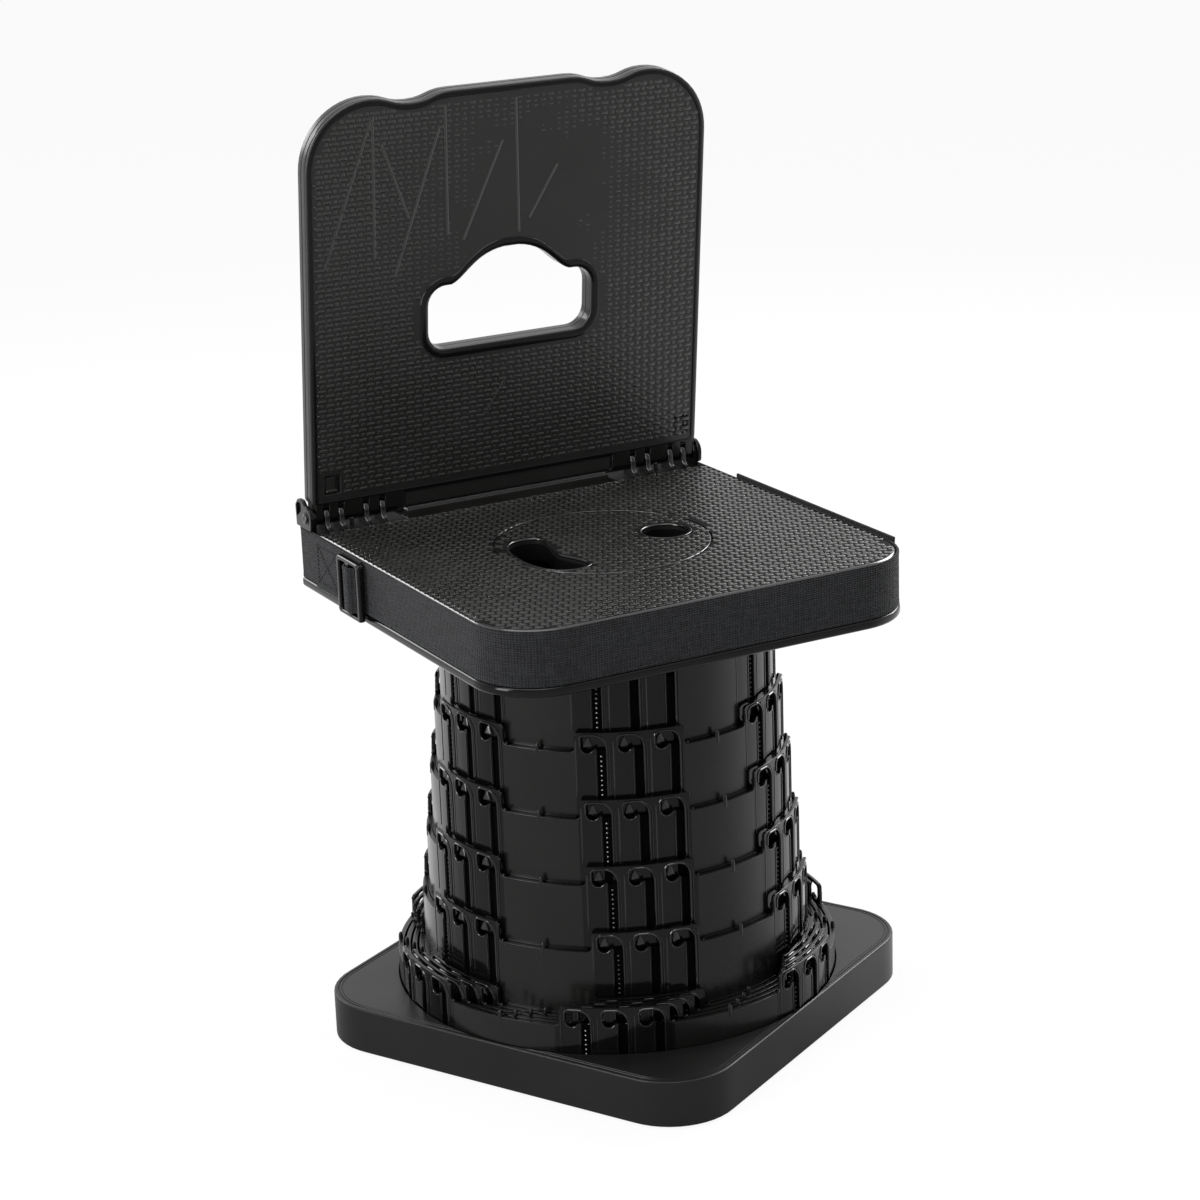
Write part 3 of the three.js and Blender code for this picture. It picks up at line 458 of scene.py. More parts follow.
def cleaned(points, least=0.02):
    """The outline without points that lie on each other."""
    kept = []
    for p in points:
        if not kept or (Vector(p) - Vector(kept[-1])).length > least:
            kept.append(p)
    if (Vector(kept[0]) - Vector(kept[-1])).length <= least:
        kept.pop()
    return kept


print("a 10 mm circle moved in by 1 reaches", round(inset(circle(0, 0, 10), 1)[0][0], 2), "mm")

# %% [markdown]
# An outline becomes a body in one of three ways: loops stacked on each other, for shapes that
# change on their way up, a panel between two heights, and a lathe for what is round. Each adds
# to one bmesh, so that a moulding of many small shapes ends as a single mesh.

# %% Stacks and panels
def add_loops(bm, loops):
    """Quads between closed loops of equal length, given as lists of (x, y, z) in millimetres."""
    rows = [[bm.verts.new(Vector(p) * MM) for p in loop] for loop in loops]
    for low, high in zip(rows, rows[1:]):
        for i in range(len(low)):
            j = (i + 1) % len(low)
            bm.faces.new((low[i], low[j], high[j], high[i]))
    return rows


def add_stack(bm, loops):
    """Loops from low to high, with both ends closed."""
    rows = add_loops(bm, loops)
    bm.faces.new(rows[0][::-1])
    bm.faces.new(rows[-1])


def roll(radius, steps):
    """(inset, drop) pairs from the side of an edge round to its face."""
    if radius == 0:
        return [(0, 0)]
    turns = [math.pi / 2 * i / steps for i in range(steps + 1)]
    return [(radius * (1 - math.cos(t)), radius * (1 - math.sin(t))) for t in turns]


def add_panel(bm, outer, holes, low, high, rolls=(0, 0), hole_rolls=(0, 0), steps=3):
    """A panel between two heights. Each pair of rolls is for the low and the high edge."""
    edges = {-1: [], 1: []}
    outlines = [(outer, rolls, 1)] + [(hole, hole_rolls, -1) for hole in holes]
    for points, (low_roll, high_roll), side in outlines:
        points = cleaned(points)
        if is_clockwise(points) != (side < 0):
            points = points[::-1]
        rising = [(i, low + d) for i, d in reversed(roll(low_roll, steps))]
        rising += [(i, high - d) for i, d in roll(high_roll, steps)]
        rows = add_loops(bm, [[(x, y, z) for x, y in inset(points, i * side)] for i, z in rising])
        for up, row in ((-1, rows[0]), (1, rows[-1])):
            edges[up] += [bm.edges.get(pair) for pair in zip(row, row[1:] + row[:1])]
    for up in (-1, 1):
        made = bmesh.ops.triangle_fill(bm, use_beauty=True, use_dissolve=False, edges=edges[up],
                                       normal=Vector((0, 0, up)))
        for face in made["geom"]:
            if isinstance(face, bmesh.types.BMFace) and face.normal.z * up < 0:
                face.normal_flip()


print("a roll of 2 mm in 2 steps:", [(round(i, 2), round(d, 2)) for i, d in roll(2, 2)])

# %% [markdown]
# The lathe turns a profile about an upright axis. Every piece is drawn about its own middle or
# lying flat, so a turn and a shift as matrices put it in its place.

# %% Lathe and placing
def add_lathe(bm, profile, x=0.0, y=0.0, steps=32):
    """A turned shape about an upright axis from (radius, height) pairs; radius zero closes an end."""
    rows = []
    for radius, z in profile:
        count = 1 if radius == 0 else steps
        turns = [2 * math.pi * i / count for i in range(count)]
        rows.append([bm.verts.new(Vector((x + radius * math.cos(t), y + radius * math.sin(t), z)) * MM)
                     for t in turns])
    for low, high in zip(rows, rows[1:]):
        for i in range(steps):
            j = (i + 1) % steps
            ring = [low[i % len(low)], low[j % len(low)], high[j % len(high)], high[i % len(high)]]
            face = list(dict.fromkeys(ring))
            if len(face) > 2:
                bm.faces.new(face)


def mesh_of(bm, name, place=None, material=None):
    """The built mesh, moved by a matrix and given a material where they are named."""
    mesh = bpy.data.meshes.new(name)
    bm.to_mesh(mesh)
    bm.free()
    if place is not None:
        mesh.transform(place)
    if material is not None:
        mesh.materials.append(material)
    return mesh


def turned(degrees, axis):
    return Matrix.Rotation(math.radians(degrees), 4, axis)


def shifted(x, y, z):
    """A move in millimetres."""
    return Matrix.Translation((x * MM, y * MM, z * MM))


print("shifted by 5 mm:", round(shifted(5, 0, 0).translation[0], 4), "m")

# %% [markdown]
# ## Finishing a piece
# A piece is done when its modifiers are part of its mesh, it is shaded smooth across its soft
# edges, it has its material, and it rides on a body. Weighted normals keep large faces flat and
# let only the rolled edges bend the light, which is how a moulded part reads.

# %% Bake, place and finish
SMOOTH_ANGLE = math.radians(38)


def bake(obj):
    """The object's modifiers as a plain mesh."""
    bpy.context.view_layer.update()
    evaluated = obj.evaluated_get(bpy.context.evaluated_depsgraph_get())
    mesh = bpy.data.meshes.new_from_object(evaluated)
    obj.modifiers.clear()
    obj.data = mesh
    return obj


def finish(obj, material, body, slot, *nodes, weighted=True):
    """Smooths the piece, gives it its material and body, and lets it stand for its CAD nodes."""
    mesh = obj.data
    if not mesh.materials:
        mesh.materials.append(material)
    mesh.shade_smooth()
    mesh.set_sharp_from_angle(angle=SMOOTH_ANGLE)
    if weighted:
        obj.modifiers.new("weights", "WEIGHTED_NORMAL").keep_sharp = True
        bake(obj)
    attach(obj, body)
    if nodes:
        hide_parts(*nodes)
    obj.data.calc_loop_triangles()
    print(f"{obj.name}: {len(obj.data.loop_triangles)} triangles")
    return obj


def finish_mesh(bm, name, material, body, slot, *nodes, place=None, weighted=True):
    """A finished piece straight from what was built."""
    obj = new_object(name, mesh_of(bm, name, place))
    return finish(obj, material, body, slot, *nodes, weighted=weighted)


def join_into(name, objs):
    """One object from several, each already in place, with the materials of all of them."""
    bm = bmesh.new()
    materials = []
    for obj in objs:
        start = len(bm.faces)
        bm.from_mesh(obj.data)
        bm.faces.ensure_lookup_table()
        materials += [m for m in obj.data.materials if m not in materials]
        for face in bm.faces[start:]:
            face.material_index = materials.index(obj.data.materials[face.material_index])
        bpy.data.objects.remove(obj)
    made = new_object(name, mesh_of(bm, name))
    for material in materials:
        made.data.materials.append(material)
    return made


print("pieces are smoothed across", round(math.degrees(SMOOTH_ANGLE)), "degrees")

# %% [markdown]
# ## Copies by Geometry Nodes
# Rows of windows, teeth, beads, stitches and screws repeat. Four trees make them: one lays
# copies along a strip and bends the strip round the column, one puts copies on the points of a
# mesh, one lays them along lines, and one, further on, covers a region with an emboss. All end
# in Realize Instances and Set Material, so that the result is plain mesh.

# %% Start, end and use a tree
def start_tree(name, sockets):
    """A tree with input sockets, as (name, kind, default); gives it, its inputs and their ids."""
    tree = bpy.data.node_groups.new(name, "GeometryNodeTree")
    for way in ("INPUT", "OUTPUT"):
        tree.interface.new_socket("Geometry", in_out=way, socket_type="NodeSocketGeometry")
    ids = {}
    for label, kind, *value in [("Piece", "Object"), ("Material", "Material")] + sockets:
        socket = tree.interface.new_socket(label, in_out="INPUT", socket_type="NodeSocket" + kind)
        if value:
            socket.default_value = value[0]
        ids[label] = socket.identifier
    return tree, add_node(tree, "NodeGroupInput").outputs, ids


def copies_on(tree, points, get, **inputs):
    """Copies of the piece on points, not yet realized."""
    piece = add_node(tree, "GeometryNodeObjectInfo", {"Object": get["Piece"]})
    return add_node(tree, "GeometryNodeInstanceOnPoints", {
        "Points": points, "Instance": piece.outputs["Geometry"], **inputs})


def end_tree(tree, geometry, get):
    """Realizes what was made, sets its material and sends it out."""
    real = add_node(tree, "GeometryNodeRealizeInstances", {0: geometry})
    painted = add_node(tree, "GeometryNodeSetMaterial", {"Geometry": real, "Material": get["Material"]})
    add_node(tree, "NodeGroupOutput", {0: painted})


def run_tree(name, tree_and_ids, stamps, values, mesh=None):
    """A new object with what the tree makes. Inputs are set by identifier: `stamps` holds the
    meshes that it copies, `values` the rest."""
    tree, ids = tree_and_ids
    obj = new_object(name, mesh or bpy.data.meshes.new(name))
    modifier = obj.modifiers.new("copies", "NODES")
    modifier.node_group = tree
    pieces = {label: new_object("stamp", stamp) for label, stamp in stamps.items()}
    for label, value in {**pieces, **values}.items():
        modifier[ids[label]] = value
    bake(obj)
    for piece in pieces.values():
        bpy.data.objects.remove(piece)
    return obj


print("every tree takes a piece and a material")

# %% [markdown]
# The first tree spreads its copies along X, in groups with gaps between, and then bends the
# strip: X turns into an angle and depth into a radius. A curve modifier could bend it too, but
# not at an exact radius, and here the ends of the strip have to meet and weld.

# %% The tree that bends a strip round the column
WELD = 0.004 * MM


def wrap_tree():
    tree, get, ids = start_tree("wrap_round", [
        ("Radius", "Float"), ("Foot", "Float"), ("First Angle", "Float"), ("Groups", "Int"),
        ("Bays", "Int"), ("Bay Width", "Float"), ("Shift", "Float")])
    node, calc, vector = tools(tree)
    line = node("GeometryNodeMeshLine", {"Count": calc("MULTIPLY", get["Groups"], get["Bays"]),
                                         "Offset": (0, 0, 0)})
    index = node("GeometryNodeInputIndex")
    group = calc("FLOOR", calc("DIVIDE", index, get["Bays"]))
    bay = calc("SUBTRACT", index, calc("MULTIPLY", group, get["Bays"]))
    centred = calc("SUBTRACT", bay, calc("DIVIDE", calc("SUBTRACT", get["Bays"], 1.0), 2.0))
    girth = calc("MULTIPLY", get["Radius"], 2 * math.pi)
    group_step = calc("MULTIPLY", group, calc("DIVIDE", girth, get["Groups"]))
    along = calc("ADD", calc("MULTIPLY_ADD", centred, get["Bay Width"], group_step), get["Shift"])
    spot = node("ShaderNodeCombineXYZ", {"X": along, "Z": get["Foot"]})
    spread = node("GeometryNodeSetPosition", {"Geometry": line, "Position": spot})
    flat = node("GeometryNodeRealizeInstances", {0: copies_on(tree, spread, get)})
    where = node("ShaderNodeSeparateXYZ", {0: node("GeometryNodeInputPosition")}).outputs
    angle = calc("ADD", calc("DIVIDE", where["X"], get["Radius"]), get["First Angle"])
    reach = calc("SUBTRACT", get["Radius"], where["Y"])
    bent = node("ShaderNodeCombineXYZ", {
        "X": calc("MULTIPLY", reach, calc("COSINE", angle)),
        "Y": calc("MULTIPLY", reach, calc("SINE", angle)), "Z": where["Z"]})
    wrapped = node("GeometryNodeSetPosition", {"Geometry": flat, "Position": bent})
    end_tree(tree, node("GeometryNodeMergeByDistance", {"Geometry": wrapped, "Distance": WELD}), get)
    return tree, ids


WRAP = wrap_tree()
print("the strip is welded within", WELD / MM, "mm")

# %% [markdown]
# The other two are short. One puts a copy on each point of a mesh, for feet and screws. The other
# cuts lines into even steps and turns each copy along its line, for stitches and bead rows.

# %% The trees for points and for lines
def points_tree():
    tree, get, ids = start_tree("on_points", [])
    end_tree(tree, copies_on(tree, get["Geometry"], get), get)
    return tree, ids


def along_tree():
    tree, get, ids = start_tree("along_lines", [("Spacing", "Float")])
    node = partial(add_node, tree)
    curve = node("GeometryNodeMeshToCurve", {"Mesh": get["Geometry"]})
    points = node("GeometryNodeResampleCurve", {"Curve": curve, "Length": get["Spacing"]},
                  mode="LENGTH")
    turn = node("FunctionNodeAlignRotationToVector", {"Vector": node("GeometryNodeInputTangent")},
                axis="X")
    end_tree(tree, copies_on(tree, points, get, Rotation=turn), get)
    return tree, ids


POINTS, ALONG = points_tree(), along_tree()


def on_points(name, piece, places, material, place=None):
    """Copies of a mesh at places in millimetres, all moved by a matrix if one is given."""
    spots = bpy.data.meshes.new("spots")
    spots.from_pydata([Vector(p) * MM for p in places], [], [])
    made = run_tree(name, POINTS, {"Piece": piece}, {"Material": material}, spots)
    if place is not None:
        made.data.transform(place)
    return made


def along_lines(name, piece, lines, spacing, material, place=None):
    """Copies of a mesh along polylines, one every `spacing` millimetres."""
    mesh = bpy.data.meshes.new("lines")
    points, edges = [], []
    for line in lines:
        edges += [(len(points) + i, len(points) + i + 1) for i in range(len(line) - 1)]
        points += [Vector(p) * MM for p in line]
    mesh.from_pydata(points, edges, [])
    made = run_tree(name, ALONG, {"Piece": piece}, {"Spacing": spacing * MM, "Material": material},
                    mesh)
    if place is not None:
        made.data.transform(place)
    return made


print("trees:", [tree.name for tree, ids in (WRAP, POINTS, ALONG)])

# %% [markdown]
# ## Base
# The base is one square moulding with a round well that nearly touches its sides. A square and a
# circle share one set of directions from the middle, so stacked loops can pass from one to the
# other: side, rolled edge, two fine grooves that fade where the well comes close, then the well.
# A boolean could cut the well as well, but it would leave a ragged edge where it nearly meets.

# %% Base moulding
BASE_TURN = turned(28.6, "Z")
BASE_HALF = 149
BASE_CORNER = 44
BASE_TOP = 31.9
BASE_LIFT = 1.2
BASE_ROLL = 1.2
BASE_UNDERSIDE = 4.5
BASE_WALL = 2.4
WELL_RADIUS = 147.4
WELL_FLOOR = 6.5
WELL_ROLL = 0.25
BASE_ANGLES = [2 * math.pi * i / 208 for i in range(208)]
GROOVES = [(2.6, 0), (2.9, 0.55), (3.5, 0.55), (3.8, 0), (4.9, 0), (5.1, 0.35), (5.5, 0.35), (5.7, 0)]


def square_reach(half, corner, angle):
    """How far a rounded square reaches from its middle in that direction."""
    near, far = sorted((abs(math.cos(angle)), abs(math.sin(angle))))
    if half * near / far <= half - corner:
        return half / far
    middle = half - corner
    along = middle * (near + far)
    return along + math.sqrt(along ** 2 - 2 * middle ** 2 + corner ** 2)


def base_loop(step_in, z, dip=0.0, least=0.0):
    """A loop of the square that keeps `least` from the middle, where it doesn't dip either."""
    loop = []
    for angle in BASE_ANGLES:
        reach = square_reach(BASE_HALF - step_in, BASE_CORNER - step_in, angle)
        held, reach = reach < least, max(reach, least)
        loop.append((reach * math.cos(angle), reach * math.sin(angle), z - (0 if held else dip)))
    return loop


def round_loop(radius, z, angles):
    return [(radius * math.cos(a), radius * math.sin(a), z) for a in angles]


def make_base():
    bm = bmesh.new()
    loops = [base_loop(step_in, z) for step_in, z in (
        (BASE_WALL, BASE_UNDERSIDE), (BASE_WALL, BASE_LIFT + 0.3), (BASE_WALL - 0.3, BASE_LIFT),
        (0.4, BASE_LIFT), (0, BASE_LIFT + 0.4))]
    loops += [base_loop(i, BASE_TOP - d) for i, d in roll(BASE_ROLL, 4)]
    for order, (step_in, dip) in enumerate(GROOVES):
        least = WELL_RADIUS + WELL_ROLL + 0.08 - 0.01 * order
        loops.append(base_loop(step_in, BASE_TOP, dip, least))
    loops += [round_loop(r, z, BASE_ANGLES) for r, z in (
        (WELL_RADIUS + WELL_ROLL, BASE_TOP), (WELL_RADIUS, BASE_TOP - WELL_ROLL),
        (WELL_RADIUS, WELL_FLOOR))]
    add_stack(bm, loops)
    finish_mesh(bm, "base_moulding", SATIN, "base", "satin_black_plastic", "base_shell",
                place=BASE_TURN)


make_base()

# %% [markdown]
# Four rubber pads stand under the corners. One turned pad with a hollow sole is enough, and the
# points tree copies it. The cover under the base is as plain as in the frame, so its CAD node
# stays and only gets the base's finish.

# %% Feet and the cover underneath
FOOT_REACH = 106
FOOT_PROFILE = [(0, 0.5), (5.6, 0.5), (6.2, 0), (8.2, 0), (8.8, 0.3), (9, 0.9), (9, 1.9), (0, 1.9)]


def make_feet():
    bm = bmesh.new()
    add_lathe(bm, FOOT_PROFILE)
    places = [BASE_TURN @ Vector((x * FOOT_REACH, y * FOOT_REACH, 0)) for x, y in CORNERS]
    feet = on_points("feet", mesh_of(bm, "foot"), places, RUBBER)
    finish(feet, RUBBER, "base", "black_rubber", *[f"base_foot_{i}" for i in range(1, 5)])


make_feet()
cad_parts["base_cover"].data.materials.clear()
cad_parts["base_cover"].data.materials.append(SATIN)

# %% [markdown]
# ## Column
# Each ring is a wall of plain panels and arcades. One sixth of it is drawn flat as a panel with
# three arched windows, cut into narrow upright strips so that it can bend, and then copied six
# times and wrapped round the ring by the tree. Booleans in a tube would need fewer lines, but they
# fail on thin walls, and this way the raised trim, teeth, nubs and beads follow the same curve.

# %% Sizes of a ring
RINGS = range(1, 10)
GROUPS = 6
RING_STEP = 4.6
RING_ONE_RADIUS = 109.8
RING_WALL = 2.0
RING_PITCH = 43
RING_HEIGHT = 56.4
RING_ONE_EXTRA = 6.5
COLUMN_FOOT = 6.8
PLAIN_TOP = 43.4
BAY = 23.6
ARCADE_HALF = 1.5 * BAY


def ring_radius(k):
    return RING_ONE_RADIUS + (k - 1) * RING_STEP


def ring_foot(k):
    return COLUMN_FOOT + RING_PITCH * max(0, 6 - k)


def sixth_half(k):
    """Half the length of one sixth of the ring's outside."""
    return math.pi * ring_radius(k) / GROUPS


def group_angle(k):
    """The middle of the front arcade of ring k, in degrees about the column."""
    if k <= 6:
        return -111.2 + 0.7 * (k - 3.5)
    return group_angle(6) - 3.5 * (k - 6)


print("ring radii:", [round(ring_radius(k), 1) for k in RINGS])

# %% [markdown]
# A window is a narrow slot on the right under an arched head, which opens to the left into a
# pocket with a round bottom. An arcade of three stands higher than the plain panels beside it.

# %% Outlines of a window and of a sixth
STEP_ROUND = 2.6
SLOT = (2.6, 8.0)
SLOT_MIDDLE = sum(SLOT) / 2
POCKET = (-7.5, 0.5)
POCKET_MIDDLE, POCKET_BOWL = sum(POCKET) / 2, (POCKET[1] - POCKET[0]) / 2
SILL = 12.5
LINTEL = 2.4
POCKET_DEPTH = 11
ARCH_WIDE = 7.5
ARCH_TALL = 9.0
POCKET_ROUND = 2.4


def window_head(k):
    return RING_HEIGHT - LINTEL + (RING_ONE_EXTRA if k == 1 else 0)


def arch(head, out, up, start, end, steps):
    """The arch over a slot, as a piece of an ellipse that is wider by `out` and taller by `up`."""
    return [(SLOT[1] - ARCH_WIDE + (ARCH_WIDE + out) * x, head - ARCH_TALL + (ARCH_TALL + up) * y)
            for x, y in arc(0, 0, 1, start, end, steps)]


def window_outline(middle, head):
    """A slot on the right, an arched head, and a pocket with a round bottom on the left."""
    left, right = SLOT
    ledge = head - POCKET_DEPTH
    points = [(left + 0.6, SILL), (right - 0.6, SILL), (right, SILL + 0.6)]
    points += arch(head, 0, 0, 0, 90, 9)
    points += arc(POCKET[0] + POCKET_ROUND, head - POCKET_ROUND, POCKET_ROUND, 90, 180, 4)
    points += arc(POCKET_MIDDLE, ledge + POCKET_BOWL, POCKET_BOWL, 180, 330, 9)
    points += [(left - 0.7, ledge + 3.0), (left, ledge + 2.2), (left, SILL + 0.6)]
    return [(middle + x, y) for x, y in points]


def sector_outline(k):
    half = sixth_half(k) + 2
    if k == 1:
        return rectangle(-half, half, 0, RING_HEIGHT + RING_ONE_EXTRA)
    a, r, low, top = ARCADE_HALF, STEP_ROUND, PLAIN_TOP, RING_HEIGHT
    return ([(-half, 0), (half, 0), (half, low)] + arc(a + r, low + r, r, 270, 180, 4)
            + arc(a - r, top - r, r, 0, 90, 4) + arc(-a + r, top - r, r, 90, 180, 4)
            + arc(-a - r, low + r, r, 360, 270, 4) + [(-half, low)])


print("a window's outline has", len(window_outline(0, window_head(1))), "points")

# %% [markdown]
# The wall of a sixth is a real panel with real slots, so light falls through them on the ring
# behind. Its upright cuts are what lets it bend without creases between them.

# %% Ring walls
STAND_UP = turned(90, "X")
STRIP_DEGREES = 2.5
WALL_ROLL = 0.45


def cut_into_strips(bm, half, count):
    """Upright cuts, so that a flat panel can bend; what lies past `half` is trimmed off."""
    for i in range(count + 1):
        x = -half + 2 * half * i / count
        geometry = bm.verts[:] + bm.edges[:] + bm.faces[:]
        made = bmesh.ops.bisect_plane(bm, geom=geometry, dist=1e-7, plane_co=(x * MM, 0, 0),
                                      plane_no=(1, 0, 0), clear_inner=i == 0, clear_outer=i == count)
        for edge in made["geom_cut"]:
            if isinstance(edge, bmesh.types.BMEdge):
                edge.seam = True
    bmesh.ops.dissolve_limit(bm, angle_limit=0.01, use_dissolve_boundaries=False, verts=bm.verts,
                             edges=bm.edges, delimit={"SEAM"})
    for edge in bm.edges:
        edge.seam = False


def sector_mesh(k):
    bm = bmesh.new()
    windows = [window_outline(b * BAY, window_head(k)) for b in (-1, 0, 1)]
    rolls = (0.2, WALL_ROLL)
    add_panel(bm, sector_outline(k), windows, -RING_WALL, 0, rolls, rolls, steps=2)
    cut_into_strips(bm, sixth_half(k), round(360 / GROUPS / STRIP_DEGREES))
    return mesh_of(bm, "sector", STAND_UP)


def wrap(name, mesh, k, material=GLOSS, angle=0.0, bays=1, squeeze=1.0, shift=0.0):
    """Copies of a flat mesh round ring k, once or in each bay of its six groups."""
    return run_tree(name, WRAP, {"Piece": mesh}, {
        "Radius": ring_radius(k) * MM, "Foot": ring_foot(k) * MM, "Groups": GROUPS, "Bays": bays,
        "First Angle": math.radians(group_angle(k) + angle), "Bay Width": BAY * squeeze * MM,
        "Shift": shift * squeeze * MM, "Material": material})


def open_edges(mesh):
    bm = bmesh.new()
    bm.from_mesh(mesh)
    count = sum(not e.is_manifold for e in bm.edges)
    bm.free()
    return count


print("a sixth of ring 1 is", round(2 * sixth_half(1), 1), "mm long")

# %% [markdown]
# The trim of a bay is a rounded bead that runs up the pocket, over the arch and down the slot,
# with a second fine rib beside it and a small half ring under the pocket. Curves with a bevel
# could draw it. Sweeping a small section along flat points gives the same ridge as plain mesh,
# ready to bend with the wall.

# %% Trim of a bay
TRIM_OFFSET = 0.75
TRIM_SIZE = (1.2, 0.65)
RIB_SIZE = (0.8, 0.5)
FAINT_SIZE = (0.8, 0.3)
RIB_SINK = 0.4


def add_rib(bm, path, wide, rise):
    """A rounded ridge along a flat path (across, up), standing out from the face towards -Y."""
    rows = []
    last = len(path) - 1
    for i, (x, z) in enumerate(path):
        before, after = Vector(path[max(i - 1, 0)]), Vector(path[min(i + 1, last)])
        along = (after - before).normalized()
        side = Vector((along.y, -along.x)) * wide / 2
        rows.append([bm.verts.new(Vector((x + side.x * s, -h, z + side.y * s)) * MM)
                     for s, h in ((1, -RIB_SINK), (1, rise * 0.45), (0.5, rise), (-0.5, rise),
                                  (-1, rise * 0.45), (-1, -RIB_SINK))])
    for low, high in zip(rows, rows[1:]):
        for i in range(len(low)):
            j = (i + 1) % len(low)
            bm.faces.new((low[i], high[i], high[j], low[j]))
    bm.faces.new(rows[0])
    bm.faces.new(rows[-1][::-1])


def bay_trim_mesh(k):
    bm = bmesh.new()
    head, foot, out = window_head(k), SILL + 1, TRIM_OFFSET
    over = [(POCKET[0] - out, head - 7)]
    over += arc(POCKET[0] + POCKET_ROUND, head - POCKET_ROUND, POCKET_ROUND + out, 180, 90, 4)
    over += arch(head, out, out, 90, 0, 10) + [(SLOT[1] + out, foot)]
    add_rib(bm, over, *TRIM_SIZE)
    add_rib(bm, arch(head, 2.3, 1.7, 55, 0, 5) + [(SLOT[1] + 2.3, foot)], *RIB_SIZE)
    bowl = arc(POCKET_MIDDLE, head - POCKET_DEPTH + POCKET_BOWL, POCKET_BOWL + 0.5, 195, 325, 9)
    add_rib(bm, bowl, *FAINT_SIZE)
    left = SLOT[0] - 1.0
    add_rib(bm, [(left, foot), (left, head - POCKET_DEPTH - 1)], *RIB_SIZE)
    left = POCKET[0] - 3.2
    add_rib(bm, [(left, foot), (left, head - 3)], *FAINT_SIZE)
    return mesh_of(bm, "bay_trim")


print("trim:", TRIM_SIZE[0], "mm wide and", TRIM_SIZE[1], "mm proud")

# %% [markdown]
# The tooth is a curved wedge like a sail, and it stands in the pocket of the next ring out. Small
# studs mark the rims, and one bay of each group has a column of beads down its slot, where the
# real ring has a ratchet strip.

# %% Teeth, nubs and beads
TOOTH_MIDDLE = -3.5
TOOTH_FOOT, TOOTH_TALL = 2.6, 6.7
SAIL = [(-3, 2.6), (3, 2.6), (2.7, 4.2), (1.7, 6.6), (0.7, 9.3), (-0.3, 9.3), (-1.8, 7.2), (-2.8, 4.6)]
NUB_PROFILE = [(0, -4), (1.5, -4), (1.5, 1.6), (1.2, 3.4), (0.7, 4.2), (0, 4.4)]
BEAD_PITCH = 3.2
TRACK_HALF = 2.9


def tooth_mesh():
    bm = bmesh.new()
    add_panel(bm, SAIL, [], -1.0, 2.2, (0, 1.1))
    for v in bm.verts:
        share = (v.co.y / MM - TOOTH_FOOT) / TOOTH_TALL
        if v.co.z > 0:
            v.co.z *= 1 - 0.55 * share - 0.1 * (v.co.x / MM + 0.4)
    return mesh_of(bm, "tooth", STAND_UP)


def nub_mesh():
    """The stud in the middle of a plain rim."""
    bm = bmesh.new()
    add_lathe(bm, NUB_PROFILE, 0, 1.0, steps=12)
    return mesh_of(bm, "nub", shifted(0, 0, PLAIN_TOP))


def corner_nubs_mesh():
    """Two small balls at the right end of an arcade, one on each rim."""
    bm = bmesh.new()
    for x, z in ((ARCADE_HALF + 2.4, PLAIN_TOP + 0.9), (ARCADE_HALF - 0.4, RING_HEIGHT - 1.8)):
        ball = [(math.sin(math.radians(t)), z - math.cos(math.radians(t))) for t in (45, 90, 135)]
        add_lathe(bm, [(0, z - 1)] + ball + [(0, z + 1)], x, 0.7, steps=10)
    return mesh_of(bm, "corner_nubs")


def strip_mesh():
    """The flat back of a slot, which is a track for the next ring's teeth."""
    bm = bmesh.new()
    sides = ((SLOT_MIDDLE - TRACK_HALF, SLOT_MIDDLE + TRACK_HALF), (1.3, RING_WALL - 0.02),
             (SILL - 0.3, PLAIN_TOP + 1))
    for v in bmesh.ops.create_cube(bm, size=1.0)["verts"]:
        v.co = Vector([(low + high) / 2 + c * (high - low) for (low, high), c in zip(sides, v.co)]) * MM
    return mesh_of(bm, "strip")


def beads_mesh():
    """The ratchet strip's column of small beads."""
    bm = bmesh.new()
    z = SILL + 2.4
    while z < PLAIN_TOP - 2:
        ball = [(0, z - 1.0), (0.75, z - 0.6), (1.0, z), (0.75, z + 0.6), (0, z + 1.0)]
        add_lathe(bm, ball, SLOT_MIDDLE, 1.1, steps=8)
        z += BEAD_PITCH
    return mesh_of(bm, "beads")


def ledge_mesh(k, low, high, depth):
    """A thin ledge along a plain panel, which hides the gap between two rings."""
    bm = bmesh.new()
    half = sixth_half(k) - ARCADE_HALF
    add_panel(bm, rectangle(-half + 4.6, half - 0.2, low, high), [], *depth, (0.2, 0.2), steps=2)
    cut_into_strips(bm, half, 12)
    return mesh_of(bm, "ledge", STAND_UP)


print("a bay's beads:", len(beads_mesh().vertices), "vertices")

# %% [markdown]
# A ring is all of this joined to one mesh. Its finish changes with the place: the arcades are
# glossy and the plain panels between them duller. The arcades' feet, deep in the next ring, and
# the backs of the slots get a near-black painted shade. Sorting the faces by angle and height is
# exact, where a mask in the material would have to know each ring's turn.

# %% Nine rings
def sort_faces(mesh, k):
    """Plain panels get their duller skin, and the arcades' feet a near-black painted shade."""
    sixth = 2 * math.pi / GROUPS
    gloss, panel, deep = (mesh.materials.find(m.name) for m in (GLOSS, PANEL, PAINTED_DEEP_SHADE))
    for face in mesh.polygons:
        if face.material_index != gloss:
            continue
        turn = math.atan2(face.center.y, face.center.x) - math.radians(group_angle(k))
        off = (turn + sixth / 2) % sixth - sixth / 2
        if abs(off) * ring_radius(k) > ARCADE_HALF:
            face.material_index = panel
        # Painted shade: the arcades' feet, deep in the next ring, get the near-black copy.
        elif k < 9 and face.center.z < (ring_foot(k) + RING_HEIGHT - PLAIN_TOP - 0.5) * MM:
            face.material_index = deep


